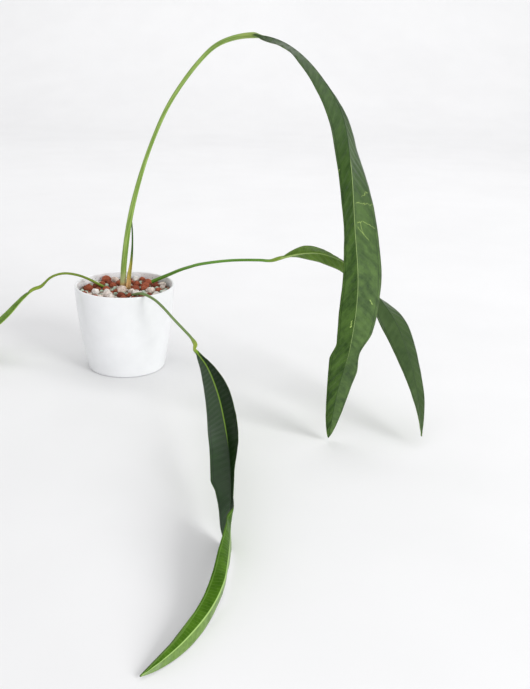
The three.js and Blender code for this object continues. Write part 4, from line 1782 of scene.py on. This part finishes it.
@dataclass
class Sheath(SubAssembly):
    """The thin folded scale beside the tall leaf's stalk."""

    path: tuple[Point, ...] = (
        (2.4, 10, 93), (3.9, 10.6, 111), (6.9, 10.8, 129), (8.7, 10.8, 147), (9.3, 10.7, 166), (8.4, 10.6, 188),
    )  # fmt: skip
    stations: int = 90
    columns: int = 41
    thickness: float = 0.7
    rib_width: float = 0.6
    ripple: float = 0.15
    width: Keys = ((0, 3.4), (0.19, 2.6), (0.38, 1.8), (0.6, 1.1), (0.92, 0.6), (1, 0.2))
    fold: Keys = ((0, 35), (0.3, 45), (0.7, 55), (1, 40))

    def build(self, trees: Trees, effects: Effects) -> list[bpy.types.Object]:
        """Builds and dresses the sheath.

        Args:
            trees: The geometry trees.
            effects: The shared effects.

        Returns:
            The pieces.
        """
        points = curve_points(self.path, 0.0, 1.0, self.stations - 1)
        side, up = path_frames(points, (1.0, 0.0, 0.0))
        place = np.linspace(0.0, 1.0, self.stations)
        fold = np.radians(keyed(self.fold, place))
        reach = keyed(self.width, place) / np.cos(fold)
        length = np.linalg.norm(np.diff(points, axis=0), axis=1).sum()
        lowered = points - up * (reach * np.sin(fold) * 0.5)[:, None]
        none = np.zeros_like(place)
        vectors = {
            "rail_side": side,
            "rail_up": up,
            "rail_reach": np.stack([reach, reach, reach * 0.2], axis=1),
            "rail_fold": np.stack([fold, fold, none + 1.0], axis=1),
            "rail_extra": np.stack([place * length, none, none], axis=1),
        }
        inputs = {
            "Stations": self.stations,
            "Columns": self.columns,
            "Thickness": self.thickness,
            "Rib Ridge": 0.0,
            "Rib Width": self.rib_width,
            "Vein Relief": 0.0,
            "Ripple": self.ripple,
            "Material": SheathFinish().material(effects),
        }
        piece = grow(rail_object("stalk_sheath", lowered * MM, vectors), trees.sweep, inputs)
        close_ends(piece)
        return [settle(piece, "sheath", "cataphyll")]


def close_ends(piece: bpy.types.Object) -> None:
    """Closes the open rings at a swept piece's two ends.

    Args:
        piece: The piece.
    """
    shape = bmesh.new()
    shape.from_mesh(piece.data)
    rings = [edge for edge in shape.edges if edge.is_boundary]
    caps = bmesh.ops.holes_fill(shape, edges=rings, sides=0)["faces"]
    bmesh.ops.poke(shape, faces=caps)
    shape.to_mesh(piece.data)
    shape.free()


@dataclass
class StrapLeaf(SubAssembly):
    """One leaf: a round stalk with a swelling under the blade, and a long strap blade.

    Roll and folds are degrees and trims multiply a half's width, each keyed to the place along the blade.
    """

    name: str
    node: str
    finish: LeafFinish
    stalk: tuple[Point, ...]
    blade: tuple[Point, ...]
    stalk_radius: Keys
    across: Point
    half_width: float
    base_exponent: float
    tip_exponent: float
    roll: Keys
    near_fold: Keys
    far_fold: Keys
    near_trim: Keys = ((0, 1), (1, 1))
    far_trim: Keys = ((0, 1), (1, 1))
    thickness: float = 1.0
    tip_half_width: float = 0.5
    stalk_reach: float = 3.0
    rib_ridge: float = 0.16
    rib_depth: float = 0.75
    rib_fade: float = 0.75
    rib_taper: float = 1.5
    collar: float = 0.03
    stalk_steps: int = 110
    blade_steps: int = 320
    ripple: float = 0.8
    vein_relief: float = 0.2
    seed: float = 0.0

    def rail(self) -> tuple[np.ndarray, dict[str, np.ndarray], float, float]:
        """The leaf's path and everything that the sweep needs at each of its points.

        Returns:
            The points in millimetres, the named vectors, the stalk's length and the blade's length.
        """
        through = (*self.stalk, *self.blade)
        joint = len(self.stalk) / (len(through) - 1)
        low = curve_points(through, 0.0, joint, self.stalk_steps)
        high = curve_points(through, joint, 1.0, self.blade_steps)
        points = np.vstack([low[:-1], high])
        side, up = path_frames(points, self.across)
        part = np.linspace(0.0, 1.0, self.stalk_steps + 1)[:-1]
        place = np.linspace(0.0, 1.0, self.blade_steps + 1)
        side, up = rolled(side, up, np.concatenate([self.roll[0][1] * part, keyed(self.roll, place)]))
        none = np.zeros_like(part)
        end_radius = float(self.stalk_radius[-1][1])
        radius = np.concatenate([keyed(self.stalk_radius, part), np.full_like(place, end_radius)])
        blend = np.clip(place / self.collar, 0.0, 1.0)
        flat = np.concatenate([none, blend * blend * (3 - 2 * blend)])
        near_reach, far_reach = (
            np.concatenate([none + self.stalk_reach, self._half_width(place, trim)])
            for trim in (self.near_trim, self.far_trim)
        )
        near_fold, far_fold = (
            np.concatenate([none, np.radians(keyed(fold, place))]) for fold in (self.near_fold, self.far_fold)
        )
        rib = end_radius * np.maximum(1 - place / self.rib_fade, 0.0) ** self.rib_taper * self.rib_depth
        run = np.concatenate([[0.0], np.cumsum(np.linalg.norm(np.diff(points, axis=0), axis=1))])
        stalk_length = float(run[self.stalk_steps])
        vectors = {
            "rail_side": side,
            "rail_up": up,
            "rail_reach": np.stack([near_reach, far_reach, radius], axis=1),
            "rail_fold": np.stack([near_fold, far_fold, flat], axis=1),
            "rail_extra": np.stack([run - stalk_length, np.concatenate([none, rib]), run * 0.0], axis=1),
        }
        return points, vectors, stalk_length, float(run[-1] - stalk_length)

    def _half_width(self, place: np.ndarray, trim: Keys) -> np.ndarray:
        """The width of one half of the blade.

        Args:
            place: Places along the blade, from 0 to 1.
            trim: The half's trim.

        Returns:
            The width at each place.
        """
        peak = self.base_exponent / (self.base_exponent + self.tip_exponent)
        outline = (place / peak) ** self.base_exponent * ((1 - place) / (1 - peak)) ** self.tip_exponent
        return np.maximum(self.half_width * outline * keyed(trim, place), self.tip_half_width)

    def build(self, trees: Trees, effects: Effects) -> list[bpy.types.Object]:
        """Builds and dresses the leaf.

        Args:
            trees: The geometry trees.
            effects: The shared effects.

        Returns:
            The pieces.
        """
        points, vectors, stalk_length, blade_length = self.rail()
        LOG.info("%s: stalk %.0f mm, blade %.0f mm", self.name, stalk_length, blade_length)
        inputs = {
            "Stations": len(points),
            "Columns": LEAF_COLUMNS,
            "Thickness": self.thickness,
            "Rib Ridge": self.rib_ridge,
            "Rib Width": self.finish.rib_width,
            "Vein Relief": self.vein_relief,
            "Vein Spacing": self.finish.vein_spacing,
            "Vein Slant": self.finish.vein_slant,
            "Ripple": self.ripple,
            "Seed": self.seed,
            "Material": self.finish.material(effects),
        }
        piece = grow(rail_object(self.name, points * MM, vectors), trees.sweep, inputs)
        close_ends(piece)
        return [settle(piece, "leaf", self.node)]


UNDER_TONES = (paint(66, 96, 24), paint(104, 138, 44))
UNDER_RIB = paint(168, 194, 112)


def leaves() -> list[StrapLeaf]:
    """The plant's four leaves, from the tall one to the one at the left.

    Returns:
        The leaves.
    """
    tall = StrapLeaf(
        name="tall_leaf",
        node="leaf_tall",
        finish=LeafFinish(
            "tall_leaf_skin", (paint(30, 54, 20), paint(76, 103, 47)), UNDER_TONES, paint(150, 172, 108), UNDER_RIB,
            (paint(226, 180, 124), paint(206, 212, 158), paint(158, 188, 96), paint(166, 186, 98)),
            stalk_length=397.0, blade_length=471.0, pale_stretches=((-10, 30), (175, 400)), mottle_start=170.0,
            mottle=1.0, vein_strength=0.25, gloss=(0.1, 0.6), depth=(0.4, 0.0), lit_side_swap=130.0, rib_width=0.55,
            scars=(
                Scar((220, -3.2), (226, -32)), Scar((215.5, -13.5), (213, -25.4), 0.35),
                Scar((240, -4), (239, -13)), Scar((239, -13), (247, -27.6)), Scar((243.7, -4.9), (258, -18)),
                Scar((238, -7.3), (251, -11.3), 0.35), Scar((334, 3), (340, 5), 0.8),
                Scar((315, -16), (321, -20), 0.8), Scar((187, 19), (192, 21), 0.5),
            ),
        ),
        stalk=(
            (-5.5, 16, 93), (-1.7, 12.5, 131), (7.6, 4, 183), (22, -9, 233), (40.5, -25.5, 281), (63, -46, 325),
            (97.5, -77, 370), (119, -96, 388),
        ),
        blade=(
            (153, -124, 397), (184, -152, 391), (212, -177, 370), (237, -200, 333), (247, -209, 290),
            (254, -215, 230), (260, -220, 170), (256, -217, 107), (247, -209, 58), (241, -204, 4),
        ),
        stalk_radius=((0, 3.6), (0.15, 3.4), (0.3, 2.9), (0.5, 2.2), (0.8, 2.2), (0.92, 2.5), (1, 2.9)),
        across=(-0.669, -0.743, 0),
        half_width=26,
        base_exponent=0.72,
        tip_exponent=0.66,
        roll=((0, -20), (0.15, 0), (1, 0)),
        near_fold=((0, -48), (0.12, 5), (0.3, 0), (0.5, 7), (0.65, -16), (0.85, -9), (1, 0)),
        far_fold=((0, -60), (0.12, -42), (0.25, -30), (0.35, -24), (0.5, 2), (0.65, 13), (0.8, 25), (1, 22)),
        near_trim=(
            (0, 0.8), (0.12, 1.05), (0.6, 0.72), (0.7, 0.86), (0.755, 0.86), (0.79, 1.2), (0.9, 1), (1, 1.1),
        ),
        far_trim=((0, 1.15), (0.6, 1.25), (0.74, 1.05), (0.79, 0.64), (0.84, 0.92), (1, 1.1)),
        vein_relief=0.38,
        seed=1.0,
    )  # fmt: skip
    right = StrapLeaf(
        name="right_leaf",
        node="leaf_right",
        finish=LeafFinish(
            "right_leaf_skin", (paint(42, 62, 30), paint(70, 92, 48)), UNDER_TONES, paint(120, 150, 70), UNDER_RIB,
            (paint(92, 138, 48), paint(104, 152, 56), paint(114, 162, 68), paint(152, 178, 76)),
            stalk_length=231.0, blade_length=297.0, pale_stretches=((-10, 40),), mottle=0.45,
        ),
        stalk=(
            (5, 13.5, 86), (12, 24, 90), (21, 31, 95), (28, 33, 98.4), (39, 31, 104), (52, 26, 111), (65.5, 18, 119),
            (79, 7, 126.4), (92, -6, 133.5), (129, -26, 144.3), (164, -45, 150.6), (176, -51.5, 152),
        ),
        blade=(
            (188, -59, 157.6), (209, -72, 167), (232, -88, 172), (255, -102, 167), (275, -115, 151),
            (295, -127, 132), (311, -140, 111.5), (323, -157, 85), (332, -178, 54), (335.5, -199, 30),
            (336.2, -212, 12),
        ),
        stalk_radius=((0, 2.6), (0.4, 1.9), (0.8, 1.6), (0.93, 1.7), (0.97, 2.2), (1, 2.1)),
        across=(-0.5, -0.85, 0),
        half_width=20,
        base_exponent=0.63,
        tip_exponent=0.82,
        roll=((0, 54), (0.12, 61), (0.25, 51), (0.4, 38), (0.5, 5), (0.6, -13), (0.75, -9), (1, -3)),
        near_fold=((0, 25), (0.12, -11), (0.25, -25), (0.4, -17), (0.6, -11), (0.75, -5), (1, 10)),
        far_fold=((0, 42), (0.12, 3), (0.25, -11), (0.4, -11), (1, 5)),
        near_trim=((0, 0.4), (0.06, 0.62), (0.14, 0.92), (1, 1.15)),
        far_trim=((0, 0.7), (0.08, 1), (1, 1.1)),
        seed=2.0,
    )  # fmt: skip
    front = StrapLeaf(
        name="front_leaf",
        node="leaf_front",
        finish=LeafFinish(
            "front_leaf_skin", (paint(28, 54, 22), paint(48, 82, 36)), (paint(40, 70, 10), paint(72, 108, 26)),
            paint(126, 164, 48), paint(150, 180, 104),
            (paint(126, 144, 96), paint(138, 158, 110), paint(134, 156, 104), paint(172, 188, 88)),
            stalk_length=177.0, blade_length=487.0, pale_stretches=((-10, 210),), rib_width=1.25, mottle=0.35,
            vein_strength=0.1, gloss=(0.5, 0.0), depth=(0.0, 0.9), near_painted_sheen=0.34,
        ),
        stalk=(
            (3, 7, 86), (9, -7, 92), (14.5, -22, 98), (22, -37, 104), (29.5, -50, 107.6), (38, -62, 108.6),
            (47, -74, 107.5), (57.6, -85, 102), (67, -89.5, 93.2), (80.5, -93.5, 80.2), (88, -96, 73),
            (91.8, -97.5, 68.3), (94, -99.5, 64.8), (93.3, -101.8, 61.8), (93.6, -104.4, 60.4),
        ),
        blade=(
            (95, -107, 60), (110, -146, 58), (125, -204, 53), (135, -258, 46), (143, -316, 36), (147, -366, 27),
            (148, -411, 21), (148, -454, 18), (146, -482, 15.5), (137.8, -506.6, 10), (121.7, -538, 7),
            (107.7, -556.6, 4.6), (95.7, -569.2, 2.5),
        ),
        stalk_radius=(
            (0, 2.6), (0.2, 1.8), (0.75, 1.55), (0.89, 1.6), (0.925, 2.4), (0.945, 2.5), (0.97, 1.8), (1, 2.2),
        ),
        across=(-1, 0, 0),
        half_width=18,
        base_exponent=0.74,
        tip_exponent=0.7,
        roll=(
            (0, -24), (0.3, -22), (0.4, -18), (0.52, -31), (0.6, -67), (0.63, -78), (0.66, -108), (0.74, -122),
            (1, -130),
        ),
        near_fold=((0, -5), (0.3, 5), (0.45, 30), (0.6, 20), (0.63, 6), (0.68, 20), (0.78, 36), (1, -12)),
        far_fold=((0, 50), (0.25, 32), (0.52, 49), (0.6, 17), (0.64, 0), (0.68, -12), (0.8, 10), (1, -40)),
        near_trim=(
            (0, 1.1), (0.51, 1.02), (0.54, 0.8), (0.57, 0.73), (0.6, 0.8), (0.64, 1.15), (0.68, 0.92), (0.8, 0.68),
            (1, 1),
        ),
        far_trim=((0, 0.6), (0.09, 0.84), (0.16, 1), (0.25, 1.1), (0.4, 1.06), (1, 0.8)),
        vein_relief=0.11,
        seed=3.0,
    )  # fmt: skip
    left = StrapLeaf(
        name="left_leaf",
        node="leaf_left",
        finish=LeafFinish(
            "left_leaf_skin", (paint(52, 76, 34), paint(84, 114, 54)), UNDER_TONES, paint(120, 150, 60), UNDER_RIB,
            (paint(84, 116, 32), paint(96, 126, 40), paint(132, 152, 62), paint(146, 168, 66)),
            stalk_length=125.0, blade_length=294.0, pale_stretches=((-10, 160),), mottle=0.55,
        ),
        stalk=(
            (-6, 12, 86), (-13, 9, 90.5), (-21.5, 7, 95.5), (-36, 7, 103), (-48.5, 7, 109), (-60, 7, 112.6),
            (-74, 7, 114), (-85, 7, 111.6), (-93, 7, 107.3), (-99, 7, 101.5), (-103.2, 7, 97.4), (-107, 7, 95.3),
            (-111, 7, 94),
        ),
        blade=(
            (-116.5, 7, 91), (-129, 7, 79), (-148, 8, 57), (-173, 11, 35), (-204, 16, 17.5), (-242, 23, 7),
            (-285, 31, 2.9), (-330, 38, 1.8), (-378, 44, 1.4),
        ),
        stalk_radius=((0, 2.4), (0.3, 1.55), (0.8, 1.45), (0.86, 1.8), (0.93, 2.2), (1, 2)),
        tip_half_width=0.56,
        across=(0, 1, 0),
        half_width=18,
        base_exponent=0.7,
        tip_exponent=0.78,
        roll=((0, 0), (0.5, -12), (0.8, 0), (1, 6)),
        near_fold=((0, 30), (0.3, 22), (0.7, 8), (1, 3)),
        far_fold=((0, 30), (0.3, 20), (0.7, 6), (1, 3)),
        ripple=0.3,
        seed=4.0,
    )  # fmt: skip
    return [tall, right, front, left]


# Studio


@dataclass(frozen=True)
class SoftLight:
    """A soft square light, with places in metres and power in watts."""

    name: str
    place: Point
    aim: Point
    size: float
    power: float

    def build(self) -> None:
        """Hangs the light and turns it to its aim."""
        data = bpy.data.lights.new(self.name, "AREA")
        data.size = self.size
        data.energy = self.power
        light = shown_object(self.name, data)
        light.location = self.place
        light.rotation_euler = (Vector(self.aim) - Vector(self.place)).to_track_quat("-Z", "Y").to_euler()


@dataclass
class Studio:
    """The pale floor with its cove in metres, the soft lights and the camera with its place in millimetres."""

    floor_half: float = 4.0
    floor_front: float = -6.0
    cove_start: float = 2.2
    cove_radius: float = 1.6
    cove_height: float = 5.0
    cove_turns: tuple[float, float, int] = (-84, 0, 15)
    world_strength: float = 0.74
    lights: tuple[SoftLight, ...] = (
        SoftLight("key", (2.3, -2.0, 1.25), (0.1, -0.15, 0.15), 1.3, 68.0),
        SoftLight("backdrop", (0.2, 0.9, 2.8), (0.2, 3.4, 1.1), 2.4, 30.0),
    )
    camera_place: Point = (172.5, -1052.5, 414.1)
    pitch: float = 20.0
    roll: float = 1.5
    focal_pixels: float = 900.0
    sensor: float = 36.0
    sight: tuple[float, float] = (0.01, 50.0)

    def build(self, effects: Effects) -> None:
        """Sets up the floor, the lights and the camera.

        Args:
            effects: The shared effects.
        """
        self._floor(effects)
        self._world()
        for light in self.lights:
            light.build()
        self._camera()

    def _floor(self, effects: Effects) -> None:
        """Makes one sheet that runs along the floor and curves up behind.

        Args:
            effects: The shared effects.
        """
        back = self.cove_start + self.cove_radius
        curve = [
            (self.cove_start + self.cove_radius * math.cos(turn), self.cove_radius * (1 + math.sin(turn)))
            for turn in np.radians(np.linspace(*self.cove_turns))
        ]
        profile = [(self.floor_front, 0.0), (0.0, 0.0), (self.cove_start, 0.0), *curve, (back, self.cove_height)]
        vertices = [(x, y, z) for y, z in profile for x in (-2 * self.floor_half, 2 * self.floor_half)]
        faces = [(2 * i, 2 * i + 1, 2 * i + 3, 2 * i + 2) for i in range(len(profile) - 1)]
        mesh = bpy.data.meshes.new("studio_floor")
        mesh.from_pydata(vertices, [], faces)
        mesh.shade_smooth()
        mesh.materials.append(FloorFinish().material(effects))
        shown_object("studio_floor", mesh)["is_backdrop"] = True

    def _world(self) -> None:
        """Sets the even white light from all round."""
        world = bpy.data.worlds.new("studio")
        bpy.context.scene.world = world
        world.use_nodes = True
        background = world.node_tree.nodes["Background"]
        background.inputs["Color"].default_value = (1.0, 1.0, 1.0, 1.0)
        background.inputs["Strength"].default_value = self.world_strength

    def _camera(self) -> None:
        """Places the camera as the photograph's was."""
        data = bpy.data.cameras.new("camera")
        data.sensor_width = self.sensor
        data.lens = self.focal_pixels * data.sensor_width / max(IMAGE_WIDTH, IMAGE_HEIGHT)
        data.clip_start, data.clip_end = self.sight
        camera = shown_object("camera", data)
        tilt = Matrix.Rotation(math.radians(90 - self.pitch), 4, "X")
        turn = tilt @ Matrix.Rotation(math.radians(self.roll), 4, "Z")
        camera.matrix_world = Matrix.Translation(Vector(self.camera_place) * MM) @ turn
        bpy.context.scene.camera = camera
        bpy.context.scene.view_settings.view_transform = "Standard"


def write_sizes(cad_box: tuple[Vector, Vector]) -> None:
    """Writes the solids' box and the dressed plant's box.

    Args:
        cad_box: The lowest and highest corner right after loading.
    """
    visual_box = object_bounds()
    sizes = {"cad": [list(corner) for corner in cad_box], "visual": [list(corner) for corner in visual_box]}
    LOG.info("solids %s", sizes["cad"])
    LOG.info("dressed %s", sizes["visual"])


def main() -> None:
    """Builds the studio and the plant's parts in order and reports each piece."""
    logging.basicConfig(level=logging.INFO, format="%(name)s: %(message)s")
    cad_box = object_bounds()
    effects, trees = Effects(), Trees()
    Studio().build(effects)
    parts: list[SubAssembly] = [POT, GrainBed(), Stem(), Sheath(), *leaves()]
    for part in parts:
        for piece in part.build(trees, effects):
            LOG.info("%s: %d faces", piece.name, len(piece.data.polygons))
    write_sizes(cad_box)


if __name__ == "__main__":
    main()
